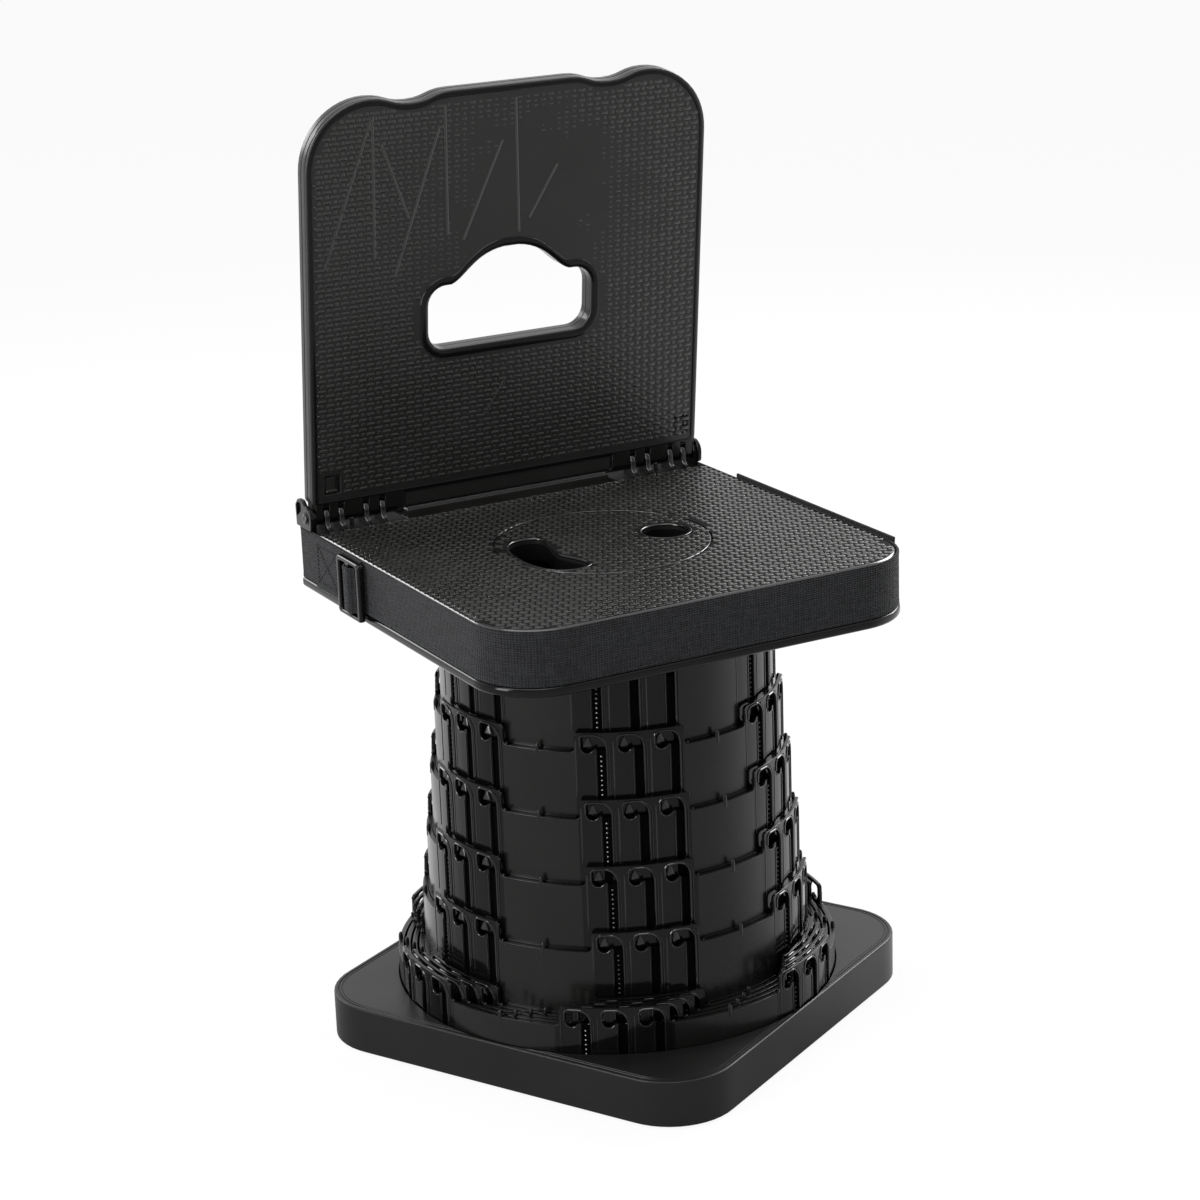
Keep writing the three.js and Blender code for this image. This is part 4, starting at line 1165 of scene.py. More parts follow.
def make_ring(k):
    wall = wrap("wall", sector_mesh(k), k)
    gaps = open_edges(wall.data)
    # The backs of the slots are painted near-black, as shade.
    parts = [wall, wrap("trim", bay_trim_mesh(k), k, TRIM, bays=3),
             wrap("strip", strip_mesh(), k, PAINTED_DEEP_SHADE, bays=3),
             wrap("beads", beads_mesh(), k, MIRROR, shift=-BAY)]
    if k < 9:
        parts.append(wrap("teeth", tooth_mesh(), k, MIRROR, group_angle(k + 1) - group_angle(k), 3,
                          ring_radius(k) / ring_radius(k + 1), TOOTH_MIDDLE))
    if k > 1:
        depth = (-RING_WALL - 1.2, -RING_WALL + 0.3)
        ledge = ledge_mesh(k, PLAIN_TOP - 2.4, PLAIN_TOP - 0.1, depth)
        parts += [wrap("nubs", nub_mesh(), k, angle=30), wrap("corner_nubs", corner_nubs_mesh(), k),
                  wrap("ledges", ledge, k, angle=30)]
    if k < 9:
        parts.append(wrap("flanges", ledge_mesh(k, 0.1, 1.2, (-0.5, 1.0)), k, angle=30))
    ring = join_into(f"ring_{k}_moulding", parts)
    ring.data.materials.append(PANEL)
    body = "base" if k == 9 else f"ring_body_{k}"
    finish(ring, GLOSS, body, "gloss_black_plastic", f"ring_{k}")
    sort_faces(ring.data, k)
    print(f"ring {k}: {gaps} open edges in its wall")


for k in RINGS:
    make_ring(k)

# %% [markdown]
# ## The basket emboss
# Seat and backrest carry a basket relief: low pillows in rows 3.4 mm apart, every other one
# turned crosswise, so that it looks plaited. A tree lays a grid, keeps the points that lie over
# a region mesh by casting a ray down on it, and puts one pillow of a few dozen faces on each.
# Round a worn place the pillows sink and shrink, in blotches, until they are gone.

# %% The tree that covers a region with pillows
EMBOSS_ACROSS = 5.75
EMBOSS_ALONG = 3.4
CROSS_SCALE = (0.42, 1.05, 0.3)
LEAST_SCALE, MOST_SCALE = (0.94, 0.94, 0.7), (1.03, 1.03, 1.15)
WORN_FROM, WORN_TO = 0.85, 1.6
WORN = 0.1
WORN_PLAN = 0.3
WORN_AWAY = 0.2
BLOTCH_MM = 24


def emboss_tree():
    tree, get, ids = start_tree("emboss", [
        ("Region", "Object"), ("Columns", "Int", 53), ("Rows", "Int", 89), ("Seed", "Int"),
        ("Across", "Float", EMBOSS_ACROSS * MM), ("Along", "Float", EMBOSS_ALONG * MM),
        ("Worn Place", "Vector"), ("Worn Reach", "Float")])
    node, calc, vector = tools(tree)
    wide = calc("MULTIPLY", calc("SUBTRACT", get["Columns"], 1.0), get["Across"])
    deep = calc("MULTIPLY", calc("SUBTRACT", get["Rows"], 1.0), get["Along"])
    grid = node("GeometryNodeMeshGrid", {"Size X": wide, "Size Y": deep,
                                         "Vertices X": get["Columns"], "Vertices Y": get["Rows"]})
    where = node("GeometryNodeInputPosition")
    parts = node("ShaderNodeSeparateXYZ", {0: where}).outputs
    column = calc("ROUND", calc("DIVIDE", parts["X"], get["Across"]))
    row = calc("ROUND", calc("DIVIDE", parts["Y"], get["Along"]))
    odd = calc("FLOORED_MODULO", calc("ADD", column, row), 2.0)
    region = node("GeometryNodeObjectInfo", {"Object": get["Region"]})
    ray = node("GeometryNodeRaycast", {
        "Target Geometry": region.outputs["Geometry"], "Ray Direction": (0, 0, -1),
        "Source Position": vector("ADD", where, (0, 0, MM)), "Ray Length": 2 * MM})
    miss = node("FunctionNodeBooleanMath", {0: ray.outputs["Is Hit"]}, operation="NOT")
    apart = vector("DISTANCE", where, get["Worn Place"]).outputs["Value"]
    blotch = node("ShaderNodeTexNoise", {"Vector": where, "Scale": 1 / (BLOTCH_MM * MM),
                                         "Detail": 2.0})
    share = node("ShaderNodeMapRange", {
        "Value": calc("ADD", calc("DIVIDE", apart, get["Worn Reach"]), blotch),
        "From Min": WORN_FROM, "From Max": WORN_TO, "To Min": WORN, "To Max": 1.0},
        interpolation_type="SMOOTHSTEP")
    bare = calc("LESS_THAN", share, WORN_AWAY)
    gone = node("FunctionNodeBooleanMath", {0: miss, 1: bare}, operation="OR")
    kept = node("GeometryNodeDeleteGeometry", {"Geometry": grid, "Selection": gone})
    size = node("ShaderNodeMix", {0: odd, 4: (1, 1, 1), 5: CROSS_SCALE}, data_type="VECTOR")
    chance = node("FunctionNodeRandomValue", {"Min": LEAST_SCALE, "Max": MOST_SCALE,
                                              "Seed": get["Seed"]}, data_type="FLOAT_VECTOR")
    plan = calc("MULTIPLY_ADD", share, 1 - WORN_PLAN, WORN_PLAN)
    lower = node("ShaderNodeCombineXYZ", {"X": plan, "Y": plan, "Z": share})
    scale = vector("MULTIPLY", vector("MULTIPLY", size.outputs[1], chance), lower)
    end_tree(tree, copies_on(tree, kept, get, Scale=scale), get)
    return tree, ids


EMBOSS = emboss_tree()
print("pillows stand", EMBOSS_ACROSS, "by", EMBOSS_ALONG, "mm apart")

# %% [markdown]
# A pillow is a stack of three eight-sided loops: a foot sunk into the face, a shoulder and a
# crown. The region is a flat panel with the same kind of outline and holes as a real one.

# %% One pillow, and the emboss of a region
PILLOW_WIDE, PILLOW_DEEP, PILLOW_HIGH = 6.2, 2.5, 0.55
NOWHERE = (500, 500, 1)


def pillow_mesh():
    """A low rounded pillow, its foot sunk a little under the face that it stands on."""
    bm = bmesh.new()
    x, y, inner_x, inner_y = PILLOW_WIDE / 2, PILLOW_DEEP / 2, PILLOW_WIDE * 0.3, PILLOW_DEEP * 0.28
    outline = [(x, -inner_y), (x, inner_y), (inner_x, y), (-inner_x, y), (-x, inner_y), (-x, -inner_y),
               (-inner_x, -y), (inner_x, -y)]
    add_stack(bm, [[(px * share, py * share, z) for px, py in outline] for share, z in (
        (1.0, -0.12), (0.93, 0.45 * PILLOW_HIGH), (0.62, 0.92 * PILLOW_HIGH))])
    return mesh_of(bm, "pillow")


def emboss_over(name, outer, holes, material, body, seed, place, worn=NOWHERE):
    """Pillows over a flat region, drawn at height zero and then moved by a matrix.

    `worn` is the middle and the reach of a place where they fade out, in millimetres.
    """
    bm = bmesh.new()
    add_panel(bm, outer, holes, -0.2, 0)
    made = run_tree(name, EMBOSS, {"Region": mesh_of(bm, "region"), "Piece": pillow_mesh()}, {
        "Material": material, "Seed": seed, "Worn Place": (worn[0] * MM, worn[1] * MM, 0),
        "Worn Reach": worn[2] * MM})
    made.data.transform(place)
    finish(made, material, body, "woven_black_plastic", weighted=False)


print("a pillow is", PILLOW_WIDE, "by", PILLOW_DEEP, "mm and", PILLOW_HIGH, "mm high")

# %% [markdown]
# ## Seat
# The seat is a tray with a rounded flange, a top plate with a rolled edge, and a round lid with
# two finger holes. A subdivided box would soften its corners too much, so the tray is a stack of
# loops that ends in the round spigot under it.

# %% Seat tray
SEAT_HALF = 150
SEAT_CORNER = 44
SEAT_REAR_CORNER = 7
FLANGE_LOW = 285.0
FLANGE_HIGH = 291.3
SEAT_TOP = 326.6
PLATE_LOW = 320.6
PLATE_IN = 2.6
TRAY_WALL = 2.5
TRAY_FLOOR = 288.4
SPIGOT_OUTER, SPIGOT_INNER, SPIGOT_FOOT = 104.7, 102.2, 273.0
SPIGOT_ROLL = 0.4


def seat_loop(step_in, z):
    rear = max(SEAT_REAR_CORNER - step_in, 0.8)
    return [(x, y, z) for x, y in rounded_square(SEAT_HALF - step_in, SEAT_CORNER - step_in, rear, 12)]


def make_tray():
    bm = bmesh.new()
    wall = PLATE_IN + TRAY_WALL
    loops = [seat_loop(step_in, z) for step_in, z in (
        (wall, TRAY_FLOOR), (wall, PLATE_LOW - 0.5), (PLATE_IN + 0.4, PLATE_LOW - 0.3),
        (PLATE_IN, PLATE_LOW - 0.6), (PLATE_IN, FLANGE_HIGH))]
    loops += [seat_loop(i, FLANGE_HIGH - d) for i, d in reversed(roll(2.4, 5))]
    loops += [seat_loop(i, FLANGE_LOW + d) for i, d in roll(2.2, 5)]
    angles = [math.atan2(y, x) for x, y, z in loops[0]]
    outer, inner, foot, r = SPIGOT_OUTER, SPIGOT_INNER, SPIGOT_FOOT, SPIGOT_ROLL
    loops += [round_loop(radius, z, angles) for radius, z in (
        (outer + 0.6, FLANGE_LOW), (outer, FLANGE_LOW - 0.6), (outer, foot + r), (outer - r, foot),
        (inner + r, foot), (inner, foot + r), (inner, FLANGE_LOW))]
    add_stack(bm, loops[::-1])
    finish_mesh(bm, "seat_tray_moulding", GLOSS, "seat", "gloss_black_plastic", "seat_tray")


make_tray()

# %% [markdown]
# Plate and lid are panels whose holes have their own roll. Behind the plate lies the lower ledge
# that carries the hinge, with a rail along its middle. The seat's screws go into four bosses.

# %% Seat plate
PLATE_ROLL = 2.4
LID_CENTRE = (-2, -3.5)
LID_RADIUS = 70.2
LID_LOW = 322.9
LID_SEAT = (66.6, 70.9)
LEDGE_FRONT = 118.7
LEDGE_TOP = 322.6
RAIL, RAIL_TOP = (-77, 77, 129.5, 136.5), 329.1
BOSS_RADIUS, BOSS_LOW = 5, 288.8
SEAT_SCREW_REACH = 124
# How far up the faces of the flat top and of the rolled edge point.
TOP_UP, ROLL_UP = 0.999, (0.1, 0.99)


def lid_circle(wider=0.0):
    return circle(*LID_CENTRE, LID_RADIUS + wider, 96)


def plate_outline(step_in):
    half, corner = SEAT_HALF - step_in, SEAT_CORNER - step_in
    return (arc(-half + corner, -half + corner, corner, 180, 270, 12)
            + arc(half - corner, -half + corner, corner, 270, 360, 12)
            + [(half, LEDGE_FRONT - 0.5), (half - 0.5, LEDGE_FRONT), (-half + 0.5, LEDGE_FRONT),
               (-half, LEDGE_FRONT - 0.5)])


def paint_shade_on_top(mesh):
    """Painted shade and hardly any shine on the flat top between pillows; polished rolled edges."""
    mesh.materials.append(PAINTED_FLAT_SHADE)
    mesh.materials.append(MIRROR)
    for face in mesh.polygons:
        up, height = face.normal.z, face.center.z
        if up > TOP_UP and height > (SEAT_TOP - 0.1) * MM:
            face.material_index = 1
        elif ROLL_UP[0] < up < ROLL_UP[1] and height > (SEAT_TOP - PLATE_ROLL) * MM:
            face.material_index = 2


def make_seat_top():
    bm = bmesh.new()
    add_panel(bm, plate_outline(PLATE_IN), [lid_circle(1.0)], PLATE_LOW, SEAT_TOP, (0.3, PLATE_ROLL),
              (0.2, 0.6), steps=5)
    half, front = SEAT_HALF - PLATE_IN, LEDGE_FRONT - 1
    ledge = [(-half, front), (half, front), (half, half - 4), (half - 4, half), (-half + 4, half),
             (-half, half - 4)]
    add_panel(bm, ledge, [], PLATE_LOW, LEDGE_TOP, (0.3, 0.3))
    add_panel(bm, rectangle(*RAIL), [], LEDGE_TOP - 0.5, RAIL_TOP, (0, 0.8))
    inner, outer = LID_SEAT
    add_lathe(bm, [(inner, PLATE_LOW), (outer, PLATE_LOW), (outer, LEDGE_TOP), (inner, LEDGE_TOP),
                   (inner, PLATE_LOW)], *LID_CENTRE, steps=96)
    for x, y in CORNERS:
        add_lathe(bm, [(0, BOSS_LOW), (BOSS_RADIUS, BOSS_LOW), (BOSS_RADIUS, PLATE_LOW + 0.5),
                       (0, PLATE_LOW + 0.5)], x * SEAT_SCREW_REACH, y * SEAT_SCREW_REACH, steps=16)
    plate = finish_mesh(bm, "seat_plate", SEAT, "seat", "woven_black_plastic", "seat_top")
    paint_shade_on_top(plate.data)


make_seat_top()

# %% [markdown]
# The lid has a round hole for a thumb and a long bean for four fingers. The bean is a closed
# chain of cubic curves with a waist on its inner side.

# %% Lid with its finger holes
ROUND_HOLE = (42.6, -7.0, 15.2)
BEAN_OUTER, BEAN_MIDDLE, BEAN_INNER, BEAN_WAIST = -64.7, -45.0, -32.6, -39.4
BEAN_WAIST_Y, BEAN_LOW, BEAN_HIGH, BEAN_EASE = -12.0, -46.8, 29.0, 9.0
RIM_WIDE = 2.4
SLEEVE_DEEP = 11


def bean_outline():
    o, m, i, w = BEAN_OUTER, BEAN_MIDDLE, BEAN_INNER, BEAN_WAIST
    y, low, high, e = BEAN_WAIST_Y, BEAN_LOW, BEAN_HIGH, BEAN_EASE
    return curve([(o, y), (o, low + e), (m - e, low), (m, low), (m + e, low), (i, low + e / 2),
                  (i, low + e), (i, low + 2 * e), (w, y - e), (w, y), (w, y + e), (i, high - 2 * e),
                  (i, high - e), (i, high - e / 2), (m + e, high), (m, high), (m - e, high),
                  (o, high - e), (o, y)])


def round_hole(wider=0.0):
    x, y, radius = ROUND_HOLE
    return circle(x, y, radius + wider, 48)


def make_lid():
    bm = bmesh.new()
    add_panel(bm, lid_circle(), [bean_outline(), round_hole()], LID_LOW, SEAT_TOP, (0.2, 0.7),
              (0.3, 1.2), steps=4)
    lid = finish_mesh(bm, "lid_disc", SEAT, "seat", "woven_black_plastic", "seat_lid")
    paint_shade_on_top(lid.data)


def make_hole_rims():
    """A slightly raised glossy rim round each finger hole, and the hole's sleeve under the lid."""
    bm = bmesh.new()
    for outline in (round_hole(), bean_outline()):
        add_panel(bm, inset(outline, -RIM_WIDE), [outline], SEAT_TOP - 1.5, SEAT_TOP + 0.25,
                  (0, 0.4), (0, 0.9))
        add_panel(bm, inset(outline, -1.5), [inset(outline, -0.2)], LID_LOW - SLEEVE_DEEP,
                  LID_LOW + 0.5, (0.3, 0), (0.4, 0))
    finish_mesh(bm, "hole_rims", MIRROR, "seat", "gloss_black_plastic")


make_lid()
make_hole_rims()

# %% [markdown]
# The weave of plate and lid stops short of the rolled edges, the lid's groove and the finger
# holes, as a mould maker would have it. Each region is the same outline again, a little smaller.

# %% Emboss of plate and lid
ON_TOP = shifted(0, 0, SEAT_TOP)
outline = plate_outline(PLATE_IN + PLATE_ROLL + 1.2)
plate_region = [(x, min(y, LEDGE_FRONT - 2.5)) for x, y in outline]
emboss_over("plate_emboss", plate_region, [lid_circle(1.8)], SEAT, "seat", 3, ON_TOP)
lid_holes = [round_hole(4.6), inset(bean_outline(), -3.7)]
emboss_over("lid_emboss", lid_circle(-1.4), lid_holes, SEAT, "seat", 5, ON_TOP)

# %% [markdown]
# ## Webbing
# One band runs round the seat above the flange, with a doubled stretch on the right and a sewn
# tail and a slide buckle on the left. It could be a curve with a flat bevel. A strap here is a
# path seen from above, swept in code with a flat profile that has slightly thicker selvedges,
# because the sweep can write a UV map in millimetres for the weave.

# %% Straps
BAND_IN = 147.7
BAND_CORNER, BAND_REAR_CORNER = 41.7, 4.7
SECOND_LAYER = 149.7
STRAP_THICK = 1.7
BAND_LOW = 291.6
STRAP_WIDE = 34.8
SELVEDGE = 0.16


def strap_profile(low, high):
    """(outwards, height) round the strap's section."""
    t, thin = STRAP_THICK, STRAP_THICK - SELVEDGE
    return [(0.25, low), (0, low + 0.4), (0, high - 0.4), (0.25, high), (t - 0.25, high),
            (t, high - 0.4), (t, high - 1.6), (thin, high - 2.4), (thin, low + 2.4), (t, low + 1.6),
            (t, low + 0.4), (t - 0.25, low)]


def make_strap(name, path, low, high, *nodes, closed=False):
    """A strap standing on edge along a path in (x, y); its outside is on the path's right."""
    bm = bmesh.new()
    uv = bm.loops.layers.uv.new("UVMap")
    profile = strap_profile(low, high)
    rows, lengths, count = [], [0.0], len(path)
    for i, here in enumerate(path):
        before = path[(i - 1) % count] if closed or i > 0 else here
        after = path[(i + 1) % count] if closed or i < count - 1 else here
        along = (Vector(after) - Vector(before)).normalized()
        out = Vector((along.y, -along.x))
        rows.append([bm.verts.new(Vector((here[0] + out.x * d, here[1] + out.y * d, z)) * MM)
                     for d, z in profile])
        lengths.append(lengths[-1] + (Vector(path[(i + 1) % count]) - Vector(here)).length)
    for i in range(count if closed else count - 1):
        low_row, high_row = rows[i], rows[(i + 1) % count]
        for j in range(len(profile)):
            k = (j + 1) % len(profile)
            face = bm.faces.new((low_row[j], high_row[j], high_row[k], low_row[k]))
            places = ((lengths[i], j), (lengths[i + 1], j), (lengths[i + 1], k), (lengths[i], k))
            for loop, (u, v) in zip(face.loops, places):
                loop[uv].uv = (u, profile[v][1])
    if not closed:
        bm.faces.new(rows[0])
        bm.faces.new(rows[-1][::-1])
    bmesh.ops.recalc_face_normals(bm, faces=bm.faces)
    finish_mesh(bm, name, WEBBING, "seat", "black_webbing", *nodes, weighted=False)
    print(name, "is", round(lengths[-1 if closed else -2]), "mm long on its inside")


def band_path():
    """The seat's outline, its long sides cut into steps of about 12 mm."""
    points = rounded_square(BAND_IN, BAND_CORNER, BAND_REAR_CORNER, 14)
    path = []
    for a, b in zip(points, points[1:] + points[:1]):
        steps = max(1, round((Vector(b) - Vector(a)).length / 12))
        path += [between(a, b, i, steps) for i in range(steps)]
    return cleaned(path)


make_strap("band_webbing", band_path(), BAND_LOW, BAND_LOW + STRAP_WIDE, "strap_band", closed=True)
make_strap("doubled_webbing", [(SECOND_LAYER, y) for y in range(-112, 79, 10)], BAND_LOW + 2.4,
           BAND_LOW + 2.4 + STRAP_WIDE, "strap_doubled")
make_strap("tail_webbing", [(-SECOND_LAYER, y) for y in range(118, 45, -8)], BAND_LOW,
           BAND_LOW + STRAP_WIDE, "strap_tail")

# %% [markdown]
# A box of stitches with a cross in it holds the tail: one small capsule on each point of the
# lines, turned to follow them. The same tree makes the rows of bead ends beside the left edges
# of seat and backrest.

# %% Stitches and rows of bright bead ends
STITCH_LONG, STITCH_THICK, STITCH_PITCH = 2.2, 0.75, 2.9
STITCH_FACE, STITCH_BOX = -151.45, (113, 84)
BEAD_END = [(0, -0.3), (1.0, -0.3), (0.95, 0.25), (0.6, 0.65), (0, 0.8)]
BEAD_END_PITCH = 6.88


def capsule_mesh(length, thick):
    bm = bmesh.new()
    half, r = length / 2, thick / 2
    add_lathe(bm, [(0, -half), (r * 0.8, -half + r * 0.5), (r, -half + r * 1.2), (r, half - r * 1.2),
                   (r * 0.8, half - r * 0.5), (0, half)], steps=6)
    return mesh_of(bm, "capsule", turned(90, "Y"))


def make_stitches():
    x, (back, front), low, high = STITCH_FACE, STITCH_BOX, BAND_LOW + 5, BAND_LOW + STRAP_WIDE - 5
    frame_line = [(x, back, low), (x, front, low), (x, front, high), (x, back, high), (x, back, low)]
    cross = [[(x, back, low), (x, front, high)], [(x, front, low), (x, back, high)]]
    made = along_lines("stitches", capsule_mesh(STITCH_LONG, STITCH_THICK), [frame_line] + cross,
                       STITCH_PITCH, WEBBING)
    finish(made, WEBBING, "seat", "black_webbing", weighted=False)


def bead_row(name, line, body, place=None):
    bm = bmesh.new()
    add_lathe(bm, BEAD_END, steps=8)
    row = along_lines(name, mesh_of(bm, "bead"), [line], BEAD_END_PITCH, MIRROR, place)
    finish(row, MIRROR, body, "gloss_black_plastic", weighted=False)


make_stitches()
SEAT_BEAD_X = -(SEAT_HALF - PLATE_IN - PLATE_ROLL - 1.3)
bead_row("seat_edge_beads", [(SEAT_BEAD_X, 108, SEAT_TOP), (SEAT_BEAD_X, -100, SEAT_TOP)], "seat")

# %% [markdown]
# The buckle is a slide with three bars, and the webbing turns over its middle one. It is drawn
# flat, as a rounded panel with two slots, and then turned to face out on the left. The turn is
# one more strap, on a path that hugs the bar.

# %% Slide buckle and the webbing's turn over it
BUCKLE_FACE = 151.7
BUCKLE_Y, BUCKLE_Z = (41, 75), (286.8, 325.8)
OUTWARDS_LEFT = Matrix(((0, 0, -1, 0), (1, 0, 0, 0), (0, 1, 0, 0), (0, 0, 0, 1)))
# The turn over the middle bar, as (inwards from its face, y).
TURN_OVER = ((3.4, 65.5), (2.6, 63.4), (0.6, 62.2), (0, 60.6), (0, 58), (0, 55.4), (0.6, 53.8),
             (2.6, 52.6), (3.4, 50.5))


def make_buckle():
    bm = bmesh.new()
    (front, back), (low, high) = BUCKLE_Y, BUCKLE_Z
    openings = [(front + 4.6, front + 14.4), (front + 19.6, back - 4.6)]
    slots = [rounded_box(a, b, low + 3, high - 3, 1, steps=2) for a, b in openings]
    add_panel(bm, rounded_box(front, back, low, high, 3, steps=4), slots, BUCKLE_FACE,
              BUCKLE_FACE + 4, (0.8, 1.5), (0.6, 1.3), steps=4)
    mesh = mesh_of(bm, "buckle", OUTWARDS_LEFT)
    mesh.flip_normals()
    finish(new_object("tri_glide", mesh), GLOSS, "seat", "gloss_black_plastic", "slide_buckle")


make_buckle()
make_strap("loop_webbing", [(x - (BUCKLE_FACE + 4.1), y) for x, y in TURN_OVER], BUCKLE_Z[0] + 4.6,
           BUCKLE_Z[1] - 4.6)

# %% [markdown]
# ## Hinge
# Each hinge block is a low plate on the seat's rear ledge with four slim lugs, whose toes curve
# forwards at the foot, and a tall ear outside with a dark pocket in it. Bevelled blocks would miss
# the toes and the pocket, so lugs and ears are panels too, drawn from the side, and a turn by
# SIDEWAYS stands them up. The pins' domed heads show at the ears.

# %% Outlines of a hinge block
HINGE_Y = 133.0
HINGE_Z = 334.5
LUG_RADIUS = 6.0
LUG_THICK = 3.6
LUG_PLACES = (96.1, 108.0, 126.2, 136.7)
BLOCK_X, BLOCK_Y, BLOCK_Z = (80, 146.2), (119, 145.8), (322.9, 325.1)
EAR = (147.2, 150.0)
EAR_POCKET = [(137.8, 341.4), (141.2, 337.2), (146.6, 333.6), (147.4, 334.4), (147.2, 341.4),
              (144.4, 343.6), (140.8, 343.6)]
SIDEWAYS = Matrix(((0, 0, 1, 0), (1, 0, 0, 0), (0, 1, 0, 0), (0, 0, 0, 1)))


def lug_outline():
    foot = BLOCK_Z[1] - 0.6
    y, r = HINGE_Y, LUG_RADIUS
    toe = curve([(y - 12.4, foot + 1.6), (y - 9.6, foot + 1.9), (y - r, foot + 3.6),
                 (y - r, foot + 7.2)], 6)
    return ([(y + r, foot)] + arc(y, HINGE_Z, r, 0, 180, 14) + toe[::-1]
            + [(y - 13, foot + 1), (y - 13, foot)])


def ear_outline():
    y = HINGE_Y
    return (arc(y - 5.0, 329.9, 3, 180, 270, 4) + [(148.6, 326.9)] + arc(146.2, 340, 3, 0, 45, 4)
            + [(145.4, 345.2), (143.8, 345.9), (138.2, 345.9)] + arc(y, HINGE_Z, 8.2, 82, 180, 12))


def hub(radius):
    return circle(HINGE_Y, HINGE_Z, radius, 32)


def spans(side, a, b):
    return sorted((side * a, side * b))


print("lugs:", len(LUG_PLACES), "a side, each", LUG_THICK, "mm thick")

# %% [markdown]
# The left and right blocks differ only in their side, so the same functions build both, and each
# block is joined to one moulding. A pin's head has a dimple, as a rivet has.

# %% Hinge blocks and pins
PIN_RADIUS, PIN_END = 1.8, 83.6


def make_part(bm, name, material, place=None):
    """A part that join_into will take up."""
    return new_object(name, mesh_of(bm, name, place, material))


def make_lugs(side):
    bm = bmesh.new()
    for x in LUG_PLACES:
        thick = spans(side, x - LUG_THICK / 2, x + LUG_THICK / 2)
        add_panel(bm, lug_outline(), [], *thick, (0.9, 0.9))
    return make_part(bm, "lugs", MIRROR, SIDEWAYS)


def make_ear(side):
    bm = bmesh.new()
    inner, outer = EAR
    add_panel(bm, ear_outline(), [EAR_POCKET], *spans(side, inner, outer), (0.5, 0.5), (0.2, 0.3))
    add_panel(bm, EAR_POCKET, [], *spans(side, inner, inner + 1.2))
    add_panel(bm, hub(5.9), [], *spans(side, 144.7, inner + 0.6), (0.9, 0.9))
    add_panel(bm, hub(5.2), [hub(3.7)], *spans(side, outer - 0.4, outer + 0.3), (0.3, 0.3),
              (0.2, 0.2))
    return make_part(bm, "ear", GLOSS, SIDEWAYS)


def make_block_plate(side):
    bm = bmesh.new()
    low, high = BLOCK_Z
    add_panel(bm, rectangle(*spans(side, *BLOCK_X), *BLOCK_Y), [], low, high, (0.2, 0.9))
    add_panel(bm, rectangle(*spans(side, 145, 147.3), HINGE_Y - 6, HINGE_Y + 6), [], high - 1, HINGE_Z)
    # The plate under the backrest gets the same painted shade as the seat's flat top.
    return make_part(bm, "plate", PAINTED_FLAT_SHADE)


def make_pin(side, name, node):
    """A pin whose domed head has a dimple."""
    bm = bmesh.new()
    face = EAR[1] + 1.5
    add_lathe(bm, [(0, PIN_END), (PIN_RADIUS, PIN_END), (PIN_RADIUS, face - 1.2), (3.4, face - 1.2),
                   (3.4, face - 0.5), (3.0, face - 0.12), (1.9, face), (1.3, face - 0.35),
                   (0.6, face - 0.7), (0, face - 0.75)])
    place = shifted(0, HINGE_Y, HINGE_Z) @ turned(90 * side, "Y")
    finish_mesh(bm, name, STEEL, "seat", "dark_steel", node, place=place)


for side, word in ((-1, "left"), (1, "right")):
    parts = [make_lugs(side), make_ear(side), make_block_plate(side)]
    block = join_into(f"hinge_mount_{word}", parts)
    finish(block, GLOSS, "seat", "gloss_black_plastic", f"hinge_block_{word}")
    make_pin(side, f"hinge_rivet_{word}", f"hinge_pin_{word}")

# %% [markdown]
# ## Backrest
# The backrest is drawn lying flat, x across and y up from the hinge axis, its front face upwards.
# RISEN raises it and leans it back about the hinge. Its top edge dips a little on each side of
# the middle, and the hand hole has the shape of a hat. Both are symmetric, so only their right
# halves are drawn, with arcs and cubic curves.

# %% Backrest outlines
BACK_HALF = 146.7
BACK_LOW = 6.6
BACK_HIGH = 276.8
BACK_MIDDLE = (BACK_LOW + BACK_HIGH) / 2
BACK_CORNER = 45
BACK_FOOT = 5.5
DIP_X, DIP = 72, 5.2
CROWN_HALF = 43
HOLE_HALF, HOLE_LOW, HOLE_SHOULDER, HOLE_CROWN = 61, 103.9, 147.4, 168.8
HOLE_SHOULDER_X, HOLE_CORNER = 44, 13
FACE = 3.9
RIM = 4.5
FRONT_BACK = -3.5
LEAN = shifted(0, HINGE_Y, HINGE_Z) @ turned(6.1, "X")
RISEN = LEAN @ STAND_UP


def mirrored(right):
    """The whole outline from its right half."""
    return right + [(-x, y) for x, y in right[::-1]]


def back_outline(step_in=0.0):
    half, low, high = BACK_HALF - step_in, BACK_LOW + step_in, BACK_HIGH - step_in
    r, foot = BACK_CORNER - step_in, max(BACK_FOOT - step_in * 0.6, 3)
    peak, dip = BACK_HALF - BACK_CORNER, high - DIP
    a, b = (peak - DIP_X) / 2, (DIP_X - CROWN_HALF) / 2
    return mirrored(
        [(half - foot, low)] + arc(half - foot, low + foot, foot, 270, 360, 5)[1:]
        + arc(half - r, high - r, r, 0, 90, 14)
        + curve([(peak, high), (peak - a, high), (DIP_X + a, dip), (DIP_X, dip), (DIP_X - b, dip),
                 (CROWN_HALF + b, high), (CROWN_HALF, high)], 6)[1:]
        + [(CROWN_HALF, high)])


